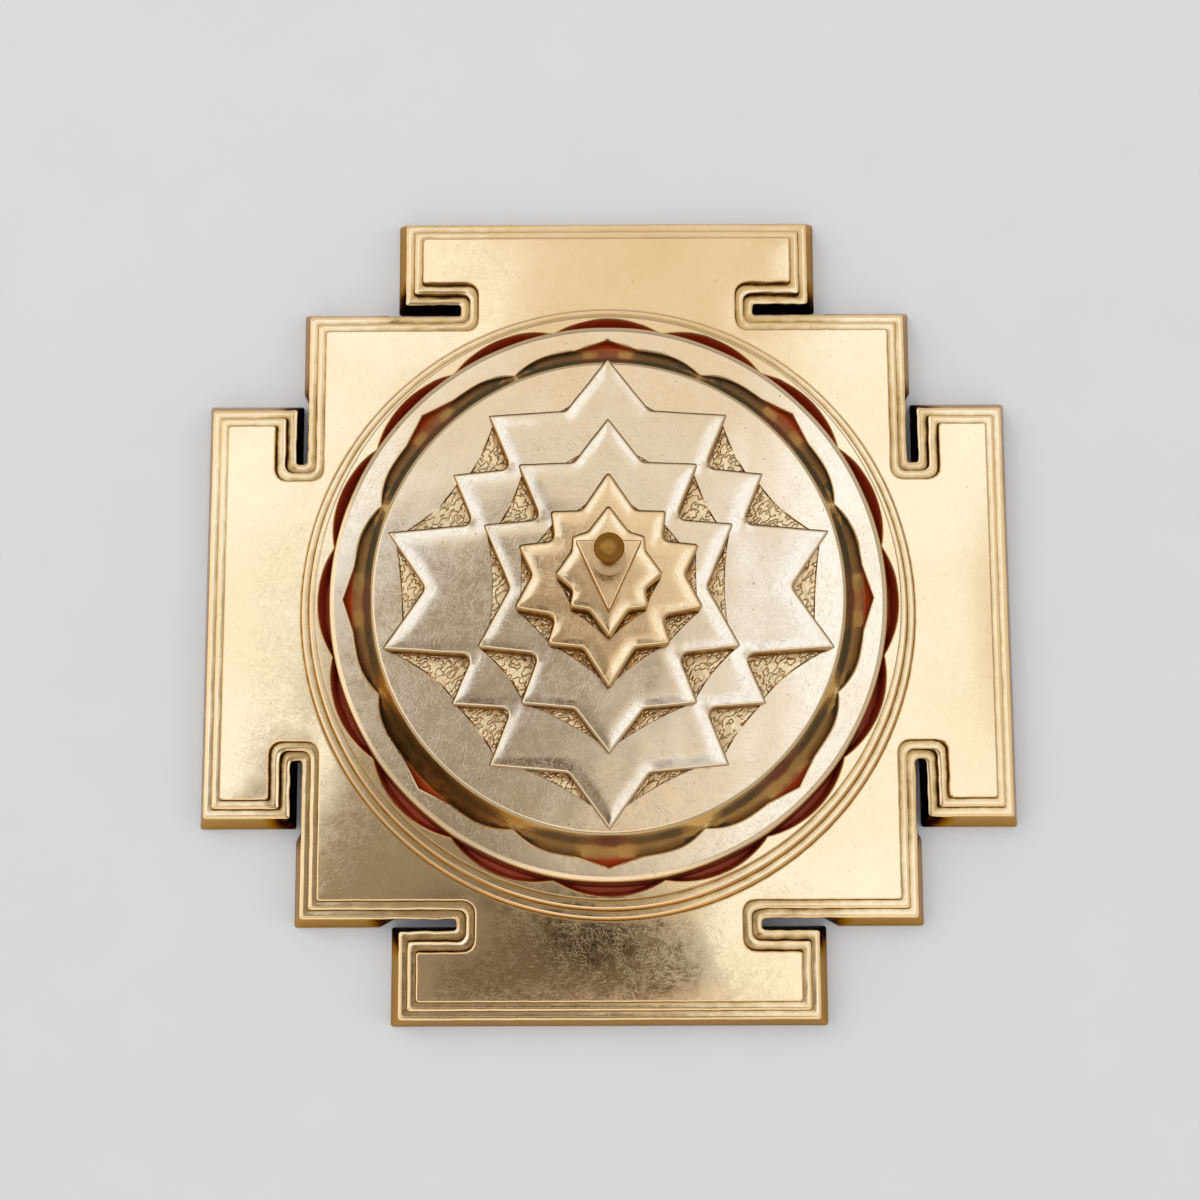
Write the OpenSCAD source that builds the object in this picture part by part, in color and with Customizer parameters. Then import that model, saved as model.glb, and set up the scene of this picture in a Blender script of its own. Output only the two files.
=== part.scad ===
/* [Plate] */
// Distance from the outer circular step to the face of a corner block
block_margin = 0.24; // [0:0.02:3]
// Width of the slot between a corner block and a gate bar
slot_w = 2.1; // [1:0.1:4]
// Depth of a gate bar, front to back
gate_depth = 16.3; // [13:0.1:20]
// Half the width of a gate bar
gate_half = 39.2; // [36:0.2:44]
// Half the width of the neck between two slot ends
neck_half = 28.4; // [26:0.2:31]
// Rounding at a slot's inner end
slot_round = 0.7; // [0.3:0.1:0.9]
// Growth of that rounding, per millimetre of terrace drawn in
slot_grow = 0.45; // [0:0.05:0.8]
// Thickness of the lowest terrace
slab_t = 7; // [6.5:0.1:10]
// Outward lean of the plate's outer walls, per millimetre of depth
foot_lean = 0.3; // [0.1:0.01:0.4]
// Rise of each terrace above the one outside it
terrace_rise = 1.25; // [0.6:0.05:2]
// Width of each terrace
terrace_run = 1.75; // [1:0.05:2.4]

/* [Circular steps] */
// Width of the outer circular step
step_run_1 = 2; // [1.4:0.1:4]
// Width of the middle circular step
step_run_2 = 2.1; // [1.6:0.1:4]
// Least wall of the inner step behind a scallop
step_wall = 0.6; // [0.5:0.1:2]
// Rise of the outer circular step
step_rise_1 = 3; // [1:0.1:4]
// Rise of the middle circular step
step_rise_2 = 3; // [1:0.1:4]
// Rise of the inner circular step
step_rise_3 = 6; // [4:0.1:8]
// Outward lean of the step walls, per millimetre of height
step_lean = 0.12; // [0.02:0.01:0.16]

/* [Lotus ring] */
// Number of scallops round the ring
scallops = 16; // [12:1:20]
// Depth of a scallop behind the points that hold the ring
scallop_depth = 1.9; // [1:0.1:3]
// Depth of the scalloped recess
recess_depth = 7.5; // [6:0.1:8.5]
// Height of the ring above the inner step
ring_proud = 4.9; // [3:0.1:7]
// Inward lean of the ring's outer wall, per millimetre of height
ring_lean = 0.16; // [0.05:0.01:0.3]
// Rim of the ring at a petal's tip
ring_rim = 2.4; // [1.6:0.1:4]
// Bevel on the ring's upper edge
ring_bevel = 0.6; // [0.2:0.1:1]
// Number of petals in the ring's opening
petals = 8; // [6:1:10]
// Bulge of a petal beyond the points that hold the drum
petal_bulge = 1.9; // [1:0.1:3]
// Radius of the round ends of a petal
petal_end = 12; // [9:0.5:16]
// Height of the pointed tip on a petal
petal_tip = 1.6; // [0.8:0.1:2.4]
// Half the angle that the pointed tip takes up, in degrees
petal_tip_angle = 7.5; // [4:0.5:10]

/* [Drum] */
// Radius of the drum's upper rim
drum_r = 41; // [38:0.5:46]
// Height of the drum above the ring
drum_proud = 6.6; // [4:0.1:9]
// Inward lean of the drum's wall, per millimetre of height
drum_lean = 0.36; // [0.2:0.01:0.4]
// Bevel on the drum's rim
drum_bevel = 0.3; // [0.2:0.1:1]
// Height of the flare below the ring's upper face
flare_h = 3.4; // [2.8:0.1:4.4]
// Width of the flare
flare_w = 4; // [3:0.1:4.2]
// Outward lean of the foot under the flare, per millimetre of depth
hem_lean = 0.05; // [0.01:0.01:0.08]

/* [Star tiers] */
// Flat rim of the drum outside the star points
star_margin = 0.6; // [0.5:0.1:3]
// Thickness of the fourteen-point star
star_14_t = 6; // [5:0.1:8]
// Drawing radius of the larger ten-point star
star_10_outer_r = 38.7; // [36:0.1:39.5]
// Thickness of the larger ten-point star
star_10_outer_t = 5.6; // [5:0.1:8]
// Drawing radius of the smaller ten-point star
star_10_inner_r = 38; // [36:0.1:40]
// Thickness of the smaller ten-point star
star_10_inner_t = 5.6; // [5:0.1:8]
// Drawing radius of the eight-point star
star_8_r = 40.1; // [39:0.1:42]
// Thickness of the eight-point star
star_8_t = 5.2; // [5:0.1:8]
// Half the width of the centre triangle
triangle_half = 5.3; // [5:0.1:5.6]
// Length of the centre triangle, base to tip
triangle_len = 11.5; // [11:0.1:12]
// Distance of the triangle's base from the axis
triangle_y = 5.6; // [5.3:0.1:6]
// Thickness of the centre triangle
triangle_t = 2.8; // [2:0.1:4]
// Depth of the chiselled pits between the star points
pit_depth = 0.5; // [0.2:0.1:0.8]

/* [Bindu] */
// Radius of the ball
ball_r = 2.3; // [1.8:0.1:3]
// Height of the ball's centre above the triangle
ball_rise = 11.4; // [8:0.1:14]
// Radius of the stem
stem_r = 1.2; // [0.8:0.1:1.6]
// Radius of the foot under the stem
foot_r = 2.7; // [2:0.1:2.9]
// Height of the foot
foot_h = 1.1; // [0.5:0.1:2]
// Distance of the stem from the axis
bindu_y = 2.6; // [2:0.1:2.7]
// Radius of the threaded shank
shank_r = 1.25; // [0.8:0.05:1.4]
// Length of thread in the eight-point star
shank_in = 1.4; // [1:0.1:1.6]

/* [Closing plug] */
// Room between the ring's foot and the bore that it goes in by
pass_gap = 1; // [0.6:0.1:2]
// Width of the plug's flange
flange_w = 9; // [7:0.1:12]
// Thickness of the plug's flange
flange_t = 4; // [3:0.1:4.5]

/* [Tie and pins] */
// Radius of the tie stud
stud_r = 3; // [2:0.1:3.2]
// Length of thread in the eight-point star
stud_in = 2.8; // [2:0.1:3]
// Length of stud that shows below the nut
stud_end = 0.5; // [0.2:0.1:0.8]
// Radius of the washer
washer_r = 9; // [7:0.1:12]
// Thickness of the washer
washer_t = 1.6; // [1:0.1:2]
// Width of the nut across its flats
nut_af = 10; // [8:0.1:13]
// Height of the nut
nut_h = 5; // [3:0.1:6]
// Depth of the nut's end below the rest face
nut_sunk = 1; // [0.9:0.1:2]
// Room round the washer
washer_room = 2; // [0.5:0.1:4]
// Radius of a large dowel
dowel_r = 2; // [1.5:0.1:2.5]
// Radius of a dowel between stars
star_dowel_r = 1.4; // [1:0.1:1.5]
// Radius of a triangle dowel
small_dowel_r = 0.7; // [0.4:0.1:0.8]
// Radius of the ring's key
key_r = 0.9; // [0.5:0.1:1.1]
// Length of a large dowel in each piece
dowel_in = 3.2; // [2:0.1:3.6]
// Length of a star dowel in each piece
star_dowel_in = 1.8; // [1:0.1:2]
// Length of a small dowel in each piece
small_dowel_in = 1.2; // [0.8:0.1:1.4]
// Distance of the drum's dowels from the axis
drum_dowel_x = 30; // [24:0.5:34]
// Distance of the fourteen-point star's dowels from the axis
star_14_dowel_x = 22; // [18:0.5:25]
// Distance of the larger ten-point star's dowels from the axis
star_10_outer_dowel_x = 13; // [11:0.1:14]
// Distance of the smaller ten-point star's dowels from the axis
star_10_inner_dowel_x = 9; // [8:0.1:9.6]
// Distance of the eight-point star's dowels from the axis
star_8_dowel_x = 5.3; // [5.1:0.1:5.4]
// Distance of the triangle's dowels from its middle line
triangle_dowel_x = 3.1; // [2.9:0.1:3.3]
// Distance of the triangle's dowels from its base
triangle_dowel_in = 1.3; // [1.2:0.1:1.6]

/* [Fits] */
// Gap between two sloping walls
cone_gap = 0.1; // [0.05:0.01:0.2]
// Land on the points that hold a sloping wall
cusp_land = 0.15; // [0.1:0.01:0.3]
// Gap between plug and bore
plug_gap = 0.1; // [0.02:0.01:0.2]
// Gap round a dowel or a thread
pin_gap = 0.03; // [0.01:0.01:0.1]
// Gap round the tie stud where it only passes through
stud_gap = 0.25; // [0.1:0.01:0.4]
// Room at the end of a blind hole
end_gap = 0.2; // [0.1:0.05:0.3]

/* [Hidden] */
$fn = 96;
over = 1;

// Heights of the faces, counted from the rest face
z_field = slab_t + 2 * terrace_rise;
z_step_1 = z_field + step_rise_1;
z_step_2 = z_step_1 + step_rise_2;
z_step_3 = z_step_2 + step_rise_3;
z_floor = z_step_3 - recess_depth;
z_ring = z_step_3 + ring_proud;
z_drum = z_ring + drum_proud;
z_14 = z_drum + star_14_t;
z_10_outer = z_14 + star_10_outer_t;
z_10_inner = z_10_outer + star_10_inner_t;
z_8 = z_10_inner + star_8_t;
z_triangle = z_8 + triangle_t;
z_ball = z_triangle + ball_rise;
z_nut = nut_sunk + nut_h;
z_seat = z_nut + washer_t;

// Radii, from the drum outwards
function drum_at(z) = drum_r + drum_lean * (z_drum - z);
drum_neck = drum_at(z_ring);
z_hem = z_ring - flare_h;
drum_hem = drum_neck + flare_w;
drum_foot = drum_hem + hem_lean * (z_hem - z_floor);
petal_cusp = drum_neck + cone_gap + cusp_land;
petal_r = petal_cusp + petal_bulge;
end_c = petal_r - petal_end;
end_cos = (pow(end_c, 2) + pow(petal_cusp, 2) - pow(petal_end, 2)) / (2 * end_c * petal_cusp);
end_turn = 180 / petals - acos(end_cos);
tip_r = petal_r + petal_tip;
ring_r = tip_r + ring_rim;
function ring_at(z) = ring_r + ring_lean * (z_ring - z);
scallop_cusp = ring_at(z_step_3) + cone_gap + cusp_land;
scallop_r = scallop_cusp + scallop_depth;
step_r_3 = scallop_r + step_wall;
step_r_2 = step_r_3 + step_run_2;
step_r_1 = step_r_2 + step_run_1;
bore_r = ring_at(z_floor) + pass_gap;
flange_r = bore_r + flange_w;
star_14_r = drum_r - star_margin;

// Plate, from the steps outwards
block_half = step_r_1 + step_lean * step_rise_1 + block_margin;
bar_back = block_half + slot_w;
plate_half = bar_back + gate_depth;
foot = foot_lean * slab_t;

// Middle of a lobe whose far side lies at radius r and whose ends lie at radius q
function lobe_c(r, q, n) = (r * r - q * q) / (2 * (r - q * cos(180 / n)));
key_c = (drum_foot + cone_gap + ring_at(z_floor)) / 2;
base_key_c = bore_r + flange_w / 2;

// Half outlines of the stars, points and notches by turns from the far point to the near one,
// in parts of a square drawing: parts from the axis, parts from the drawing's upper edge
half_parts = 24;
half_14 = [
    [0, 0], [4.3, 5.5], [12.2, 6], [9.9, 11.5], [15.8, 12.1], [13.7, 17.2], [22.4, 18], [18.5, 23.7],
    [22.8, 29.9], [13.7, 30.5], [15.8, 35.5], [9.8, 35.9], [12, 41.6], [4.1, 42.3], [0, 48]
];
half_10_outer = [
    [0, 6.3], [3.6, 11], [9.4, 11.2], [7, 17], [13, 17.5], [10.2, 24.1],
    [13.6, 30.3], [7.2, 31], [9.1, 36.1], [3.6, 36.6], [0, 41.3]
];
half_10_inner = [
    [0, 12.4], [2.8, 16.5], [6, 16.6], [5.6, 19.7], [9.4, 20.1], [7.9, 23.2],
    [9.8, 26.7], [5.5, 27.5], [6.4, 30.4], [2.7, 30.8], [0, 35]
];
half_8 = [
    [0, 16.9], [2, 19.5], [3.5, 20], [3.6, 21.4], [5.2, 23.6], [3.5, 25.1],
    [3.8, 26.8], [1.9, 27.1], [0, 29.8]
];

// Pits round each star, one row for each notch: how far the pit reaches along the two sides of the notch,
// as shares of those sides, and how far its outer side bows towards the notch
pits_14 = [
    [0.35, 0.28, 0], [0.93, 0.82, 0.1], [0.93, 0.94, 0.2], [0.86, 0.62, 0.1],
    [0.95, 0.92, 0.2], [0.95, 0.84, 0.1], [0.58, 0.6, 0.25]
];
pits_10_outer = [[0.42, 0.34, 0], [0.9, 0.8, 0.1], [0.92, 0.72, 0.4], [0.94, 0.92, 0.15], [0.82, 0.72, 0.25]];
pits_10_inner = [[0.4, 0.4, 0], [0.72, 0.6, 0], [0.86, 0.72, 0.1], [0.93, 0.86, 0.1], [0.74, 0.72, 0.2]];
pits_8 = [[0.25, 0.25, 0], [0.6, 0.5, 0.2], [0.93, 0.72, 0.15], [0.92, 0.86, 0.2]];
function bow(a, b, c, t) = (1 - t) * (1 - t) * a + 2 * t * (1 - t) * b + t * t * c;

brass = "#d8b575";
pale = "#e6cb96";
steel = "#9a9a9a";

// Both halves of a star at drawing radius r
module star_outline(half, r) {
    u = r / half_parts;
    n = len(half);
    right = [for (p = half) [p.x * u, (half_parts - p.y) * u]];
    left = [for (i = [n - 2 : -1 : 1]) [-half[i].x * u, (half_parts - half[i].y) * u]];
    polygon(concat(right, left));
}

// Chiselled pits between the points of the star that stands at height z
module pits(half, shares, r, z) {
    u = r / half_parts;
    p = [for (q = half) [q.x * u, (half_parts - q.y) * u]];
    translate([0, 0, z - pit_depth])
        linear_extrude(pit_depth + over)
            for (i = [0 : len(shares) - 1], s = [-1, 1]) {
                share = shares[i];
                notch = p[2 * i + 1];
                a = notch + share.x * (p[2 * i] - notch);
                c = notch + share.y * (p[2 * i + 2] - notch);
                pull = (1 - share.z) * (a + c) / 2 + share.z * notch;
                side = [for (k = [1 : 7]) bow(c, pull, a, k / 8)];
                polygon([for (q = concat([a, notch, c], side)) [s * q.x, q.y]]);
            }
}

// Slot between corner block and gate bar, widened by i on every side and cut out as far as x1
module slot(i, x1) {
    r = slot_round + slot_grow * i;
    x0 = neck_half - i;
    y0 = block_half - i;
    y1 = bar_back + i;
    translate([x0 + r, y0])
        square([x1 - x0 - r, y1 - y0]);
    translate([x0, y0 + r])
        square([2 * r, y1 - y0 - 2 * r]);
    for (y = [y0 + r, y1 - r])
        translate([x0 + r, y])
            circle(r = r);
}

// Repeats its children for both halves of all four sides
module eightfold() {
    for (turn = [0 : 90 : 270], side = [0, 1])
        rotate(turn)
            mirror([side, 0, 0])
                children();
}

// Plate outline, its outer walls moved out by grow and its slots widened by i
module gate_outline(grow, i) {
    difference() {
        union() {
            square(2 * (block_half + grow), center = true);
            for (turn = [0, 90])
                rotate(turn)
                    square([2 * (gate_half + grow), 2 * (plate_half + grow)], center = true);
        }
        eightfold()
            slot(i, gate_half + grow + slot_w);
    }
}

// All that lies outside a leaning wall whose upper edge runs from x0 to x1 at distance y
module outside_wall(x0, x1, y) {
    translate([x0, y, 0])
        rotate([90, 0, 90])
            linear_extrude(x1 - x0)
                polygon([
                    [-foot_lean * over, slab_t + over],
                    [foot + foot_lean * over, -over],
                    [foot + over, -over],
                    [foot + over, slab_t + over]
                ]);
}

// Lowest terrace, wider at the rest face than at its top
module slab() {
    difference() {
        linear_extrude(slab_t)
            gate_outline(foot, 0);
        eightfold() {
            outside_wall(-over, gate_half + foot + over, plate_half);
            outside_wall(gate_half + foot + slot_w / 2, block_half + foot + over, block_half);
            rotate(-90)
                outside_wall(-plate_half - foot - over, -bar_back + slot_w / 2, gate_half);
        }
    }
}

// Round lobes side by side round the axis
module lobes(r, q, n, turn) {
    c = lobe_c(r, q, n);
    for (i = [0 : n - 1])
        rotate(turn + i * 360 / n)
            translate([c, 0])
                circle(r = r - c);
}

// Opening of the lotus ring
module petal_outline() {
    a = petal_tip_angle;
    flank = [petal_r * cos(a), petal_r * sin(a)];
    reach = 2 * petal_r;
    for (i = [0 : petals - 1])
        rotate(90 + i * 360 / petals) {
            for (s = [-1, 1])
                rotate(s * end_turn)
                    translate([end_c, 0])
                        circle(r = petal_end);
            intersection() {
                circle(r = petal_r);
                polygon([
                    [0, 0],
                    [reach * cos(end_turn), -reach * sin(end_turn)],
                    [reach * cos(end_turn), reach * sin(end_turn)]
                ]);
            }
            polygon([[0, 0], [flank.x, -flank.y], [tip_r, 0], flank]);
        }
}

// Round post between two heights, drawn from its lower end
module post(r, z0, z1) {
    translate([0, 0, z0])
        cylinder(r = r, h = z1 - z0);
}

// Two posts at either side of the axis
module pair(x, r, z0, z1, y = 0) {
    for (s = [-1, 1])
        translate([s * x, y, 0])
            post(r, z0, z1);
}

// Plain star between height z0 and the top of its thickness
module tier(half, r, z0, t) {
    translate([0, 0, z0])
        linear_extrude(t)
            star_outline(half, r);
}

module base_plate() {
    color(brass)
    difference() {
        union() {
            slab();
            for (i = [1, 2])
                translate([0, 0, slab_t + (i - 1) * terrace_rise])
                    linear_extrude(terrace_rise)
                        gate_outline(-i * terrace_run, i * terrace_run);
            rotate_extrude()
                polygon([
                    [0, z_field],
                    [step_r_1 + step_lean * step_rise_1, z_field], [step_r_1, z_step_1],
                    [step_r_2 + step_lean * step_rise_2, z_step_1], [step_r_2, z_step_2],
                    [step_r_3 + step_lean * step_rise_3, z_step_2], [step_r_3, z_step_3],
                    [0, z_step_3]
                ]);
        }
        rotate_extrude()
            polygon([
                [0, -over], [flange_r + plug_gap, -over], [flange_r + plug_gap, flange_t],
                [bore_r, flange_t], [bore_r, z_floor],
                [ring_at(z_floor) + cone_gap, z_floor],
                [ring_at(z_step_3 + over) + cone_gap, z_step_3 + over],
                [0, z_step_3 + over]
            ]);
        translate([0, 0, z_floor])
            linear_extrude(recess_depth + over)
                lobes(scallop_r, scallop_cusp, scallops, 90);
        translate([0, -base_key_c, 0])
            post(dowel_r + pin_gap, 0, flange_t + dowel_in + end_gap);
    }
}

module closing_plug() {
    color(brass)
    difference() {
        union() {
            post(flange_r, 0, flange_t);
            post(bore_r - plug_gap, 0, z_floor);
        }
        post(stud_r + stud_gap, -over, z_floor + over);
        post(washer_r + washer_room, -over, z_seat);
        pair(drum_dowel_x, dowel_r + pin_gap, z_floor - dowel_in - end_gap, z_floor + over);
        translate([0, -base_key_c, 0])
            post(dowel_r + pin_gap, flange_t - dowel_in - end_gap, flange_t + over);
        rotate(90 + 180 / petals)
            translate([key_c, 0, 0])
                post(key_r + pin_gap, z_floor - dowel_in - end_gap, z_floor + over);
    }
}

module lotus_ring() {
    color(pale)
    difference() {
        rotate_extrude()
            polygon([
                [drum_foot + cone_gap, z_floor],
                [ring_at(z_floor), z_floor],
                [ring_at(z_ring - ring_bevel), z_ring - ring_bevel],
                [ring_r - ring_bevel, z_ring],
                [drum_neck + cone_gap, z_ring],
                [drum_hem + cone_gap, z_hem]
            ]);
        translate([0, 0, z_floor - over])
            linear_extrude(z_ring - z_floor + 2 * over)
                petal_outline();
        rotate(90 + 180 / petals)
            translate([key_c, 0, 0])
                post(key_r + pin_gap, z_floor - over, z_floor + dowel_in + end_gap);
    }
}

module drum() {
    color(pale)
    difference() {
        rotate_extrude()
            polygon([
                [0, z_floor],
                [drum_foot, z_floor],
                [drum_hem, z_hem],
                [drum_neck, z_ring],
                [drum_at(z_drum - drum_bevel), z_drum - drum_bevel],
                [drum_r - drum_bevel, z_drum],
                [0, z_drum]
            ]);
        post(stud_r + stud_gap, z_floor - over, z_drum + over);
        pair(drum_dowel_x, dowel_r + pin_gap, z_floor - over, z_floor + dowel_in + end_gap);
        pair(star_14_dowel_x, dowel_r + pin_gap, z_drum - dowel_in - end_gap, z_drum + over);
        pits(half_14, pits_14, star_14_r, z_drum);
    }
}

module star_14() {
    color(pale)
    difference() {
        tier(half_14, star_14_r, z_drum, star_14_t);
        post(stud_r + stud_gap, z_drum - over, z_14 + over);
        pair(star_14_dowel_x, dowel_r + pin_gap, z_drum - over, z_drum + dowel_in + end_gap);
        pair(star_10_outer_dowel_x, star_dowel_r + pin_gap, z_14 - star_dowel_in - end_gap, z_14 + over);
        pits(half_10_outer, pits_10_outer, star_10_outer_r, z_14);
    }
}

module star_10_outer() {
    color(pale)
    difference() {
        tier(half_10_outer, star_10_outer_r, z_14, star_10_outer_t);
        post(stud_r + stud_gap, z_14 - over, z_10_outer + over);
        pair(star_10_outer_dowel_x, star_dowel_r + pin_gap, z_14 - over, z_14 + star_dowel_in + end_gap);
        pair(star_10_inner_dowel_x, star_dowel_r + pin_gap,
            z_10_outer - star_dowel_in - end_gap, z_10_outer + over);
        pits(half_10_inner, pits_10_inner, star_10_inner_r, z_10_outer);
    }
}

module star_10_inner() {
    color(pale)
    difference() {
        tier(half_10_inner, star_10_inner_r, z_10_outer, star_10_inner_t);
        post(stud_r + stud_gap, z_10_outer - over, z_10_inner + over);
        pair(star_10_inner_dowel_x, star_dowel_r + pin_gap,
            z_10_outer - over, z_10_outer + star_dowel_in + end_gap);
        pair(star_8_dowel_x, star_dowel_r + pin_gap,
            z_10_inner - star_dowel_in - end_gap, z_10_inner + over);
        pits(half_8, pits_8, star_8_r, z_10_inner);
    }
}

module star_8() {
    color(pale)
    difference() {
        tier(half_8, star_8_r, z_10_inner, star_8_t);
        post(stud_r + pin_gap, z_10_inner - over, z_10_inner + stud_in + end_gap);
        pair(star_8_dowel_x, star_dowel_r + pin_gap,
            z_10_inner - over, z_10_inner + star_dowel_in + end_gap);
        translate([0, bindu_y, 0])
            post(shank_r + pin_gap, z_8 - shank_in - end_gap, z_8 + over);
        pair(triangle_dowel_x, small_dowel_r + pin_gap, z_8 - small_dowel_in - end_gap, z_8 + over,
            triangle_y - triangle_dowel_in);
    }
}

module centre_triangle() {
    color(pale)
    difference() {
        translate([0, 0, z_8])
            linear_extrude(triangle_t)
                polygon([
                    [-triangle_half, triangle_y],
                    [0, triangle_y - triangle_len],
                    [triangle_half, triangle_y]
                ]);
        translate([0, bindu_y, 0])
            post(shank_r + pin_gap, z_8 - over, z_triangle + over);
        pair(triangle_dowel_x, small_dowel_r + pin_gap, z_8 - over, z_8 + small_dowel_in + end_gap,
            triangle_y - triangle_dowel_in);
    }
}

module bindu() {
    color("#a9803f")
    translate([0, bindu_y, 0]) {
        post(shank_r, z_8 - shank_in, z_triangle);
        translate([0, 0, z_triangle])
            cylinder(r1 = foot_r, r2 = stem_r, h = foot_h);
        post(stem_r, z_triangle, z_ball);
        translate([0, 0, z_ball])
            sphere(r = ball_r);
    }
}

module tie_stud() {
    color(steel)
        post(stud_r, nut_sunk - stud_end, z_10_inner + stud_in);
}

module tie_washer() {
    color(steel)
    difference() {
        post(washer_r, z_nut, z_seat);
        post(stud_r + stud_gap, z_nut - over, z_seat + over);
    }
}

module tie_nut() {
    color(steel)
    difference() {
        translate([0, 0, nut_sunk])
            cylinder(d = nut_af / cos(30), h = nut_h, $fn = 6);
        post(stud_r + pin_gap, nut_sunk - over, z_nut + over);
    }
}

module base_key() {
    color(steel)
        translate([0, -base_key_c, 0])
            post(dowel_r, flange_t - dowel_in, flange_t + dowel_in);
}

module ring_key() {
    color(steel)
        rotate(90 + 180 / petals)
            translate([key_c, 0, 0])
                post(key_r, z_floor - dowel_in, z_floor + dowel_in);
}

module drum_pins() {
    color(steel)
        pair(drum_dowel_x, dowel_r, z_floor - dowel_in, z_floor + dowel_in);
}

module star_14_pins() {
    color(steel)
        pair(star_14_dowel_x, dowel_r, z_drum - dowel_in, z_drum + dowel_in);
}

module star_10_outer_pins() {
    color(steel)
        pair(star_10_outer_dowel_x, star_dowel_r, z_14 - star_dowel_in, z_14 + star_dowel_in);
}

module star_10_inner_pins() {
    color(steel)
        pair(star_10_inner_dowel_x, star_dowel_r, z_10_outer - star_dowel_in, z_10_outer + star_dowel_in);
}

module star_8_pins() {
    color(steel)
        pair(star_8_dowel_x, star_dowel_r, z_10_inner - star_dowel_in, z_10_inner + star_dowel_in);
}

module triangle_pins() {
    color(steel)
        pair(triangle_dowel_x, small_dowel_r, z_8 - small_dowel_in, z_8 + small_dowel_in,
            triangle_y - triangle_dowel_in);
}

base_plate();
closing_plug();
lotus_ring();
drum();
star_14();
star_10_outer();
star_10_inner();
star_8();
centre_triangle();
bindu();
tie_stud();
tie_washer();
tie_nut();
base_key();
ring_key();
drum_pins();
star_14_pins();
star_10_outer_pins();
star_10_inner_pins();
star_8_pins();
triangle_pins();
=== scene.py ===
"""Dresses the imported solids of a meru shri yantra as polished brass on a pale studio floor."""

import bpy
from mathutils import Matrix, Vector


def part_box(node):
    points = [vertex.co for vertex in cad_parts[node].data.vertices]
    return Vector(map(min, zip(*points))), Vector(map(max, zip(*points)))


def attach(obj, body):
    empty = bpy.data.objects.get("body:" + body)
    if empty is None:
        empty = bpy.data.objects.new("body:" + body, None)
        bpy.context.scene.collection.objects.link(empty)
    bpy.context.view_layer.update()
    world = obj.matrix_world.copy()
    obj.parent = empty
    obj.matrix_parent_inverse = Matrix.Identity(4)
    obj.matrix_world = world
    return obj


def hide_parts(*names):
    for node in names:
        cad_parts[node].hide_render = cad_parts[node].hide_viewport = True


bl_info = {
    "name": "Meru Shri Yantra",
    "version": (1, 0, 0),
    "blender": (4, 5, 0),
    "location": "3D View > Sidebar > Yantra",
    "description": "Builds the brass pieces of a stepped yantra around its packed solids",
    "category": "Object",
}

import math
import random

import bmesh
import bpy
from bpy.props import FloatProperty, FloatVectorProperty, IntProperty, PointerProperty
from mathutils import Matrix, Vector, noise
from mathutils.geometry import delaunay_2d_cdt

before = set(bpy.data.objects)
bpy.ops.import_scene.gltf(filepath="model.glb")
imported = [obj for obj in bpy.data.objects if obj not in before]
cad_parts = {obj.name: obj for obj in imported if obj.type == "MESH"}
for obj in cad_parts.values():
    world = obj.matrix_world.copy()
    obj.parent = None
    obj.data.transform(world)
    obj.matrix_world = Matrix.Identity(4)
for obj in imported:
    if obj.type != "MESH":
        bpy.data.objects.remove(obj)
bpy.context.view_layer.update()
MM = 0.001
BODY = "root"
TURN = 2 * math.pi
NOISE_SEED = 7


def length(name, description, size):
    """A size given in millimetres, which the sidebar shows in scene units."""
    return FloatProperty(
        name=name, description=description, default=size * MM, min=0.0, unit="LENGTH", precision=5
    )


def ratio(name, description, default):
    """A slope, as run over rise."""
    return FloatProperty(name=name, description=description, default=default, min=0.0, max=1.0)


def repeats(name, description, default):
    """How often a form is repeated round the axis."""
    return IntProperty(name=name, description=description, default=default, min=4, max=24)


def colour(name, description, default):
    """A metal colour."""
    return FloatVectorProperty(
        name=name, description=description, default=default, size=3, min=0.0, max=1.0, subtype="COLOR"
    )


class PlateSizes(bpy.types.PropertyGroup):
    """Sizes of the gate plate and its circular steps."""

    plate_half: length("Plate half", "Axis to the upper edge of a gate", 76.16)
    gate_half: length("Gate half", "Half the width of a gate bar", 39.2)
    neck_half: length("Neck half", "Half the width of the neck behind a gate", 28.4)
    block_half: length("Block half", "Axis to the face of a corner block", 57.76)
    bar_back: length("Bar back", "Axis to the back of a gate bar", 59.86)
    foot: length("Foot", "Spread of the plate at the rest face", 2.1)
    slab: length("Slab", "Height of the lowest terrace", 7.0)
    rise: length("Terrace rise", "Rise of each terrace", 1.25)
    run: length("Terrace run", "Width of each terrace", 1.75)
    crown: length("Crown", "Fall of the upper face towards its edge", 0.06)
    crown_band: length("Crown band", "Width over which the upper face falls", 6.0)
    slot_round: length("Slot rounding", "Rounding at the inner end of a slot", 0.7)
    corner_round: length("Corner rounding", "Rounding of the plate's upright edges", 0.5)
    step_1: length("Outer step", "Radius of the outer circular step", 57.16)
    step_2: length("Middle step", "Radius of the middle circular step", 55.16)
    step_3: length("Inner step", "Radius of the inner circular step", 53.06)
    step_rise: length("Step rise", "Rise of the two outer steps", 3.0)
    scallop: length("Scallop", "Radius of the scallops", 52.46)
    scallop_cusp: length("Scallop cusp", "Radius of the points between scallops", 50.56)
    scallops: repeats("Scallops", "Scallops round the recess", 16)


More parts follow.
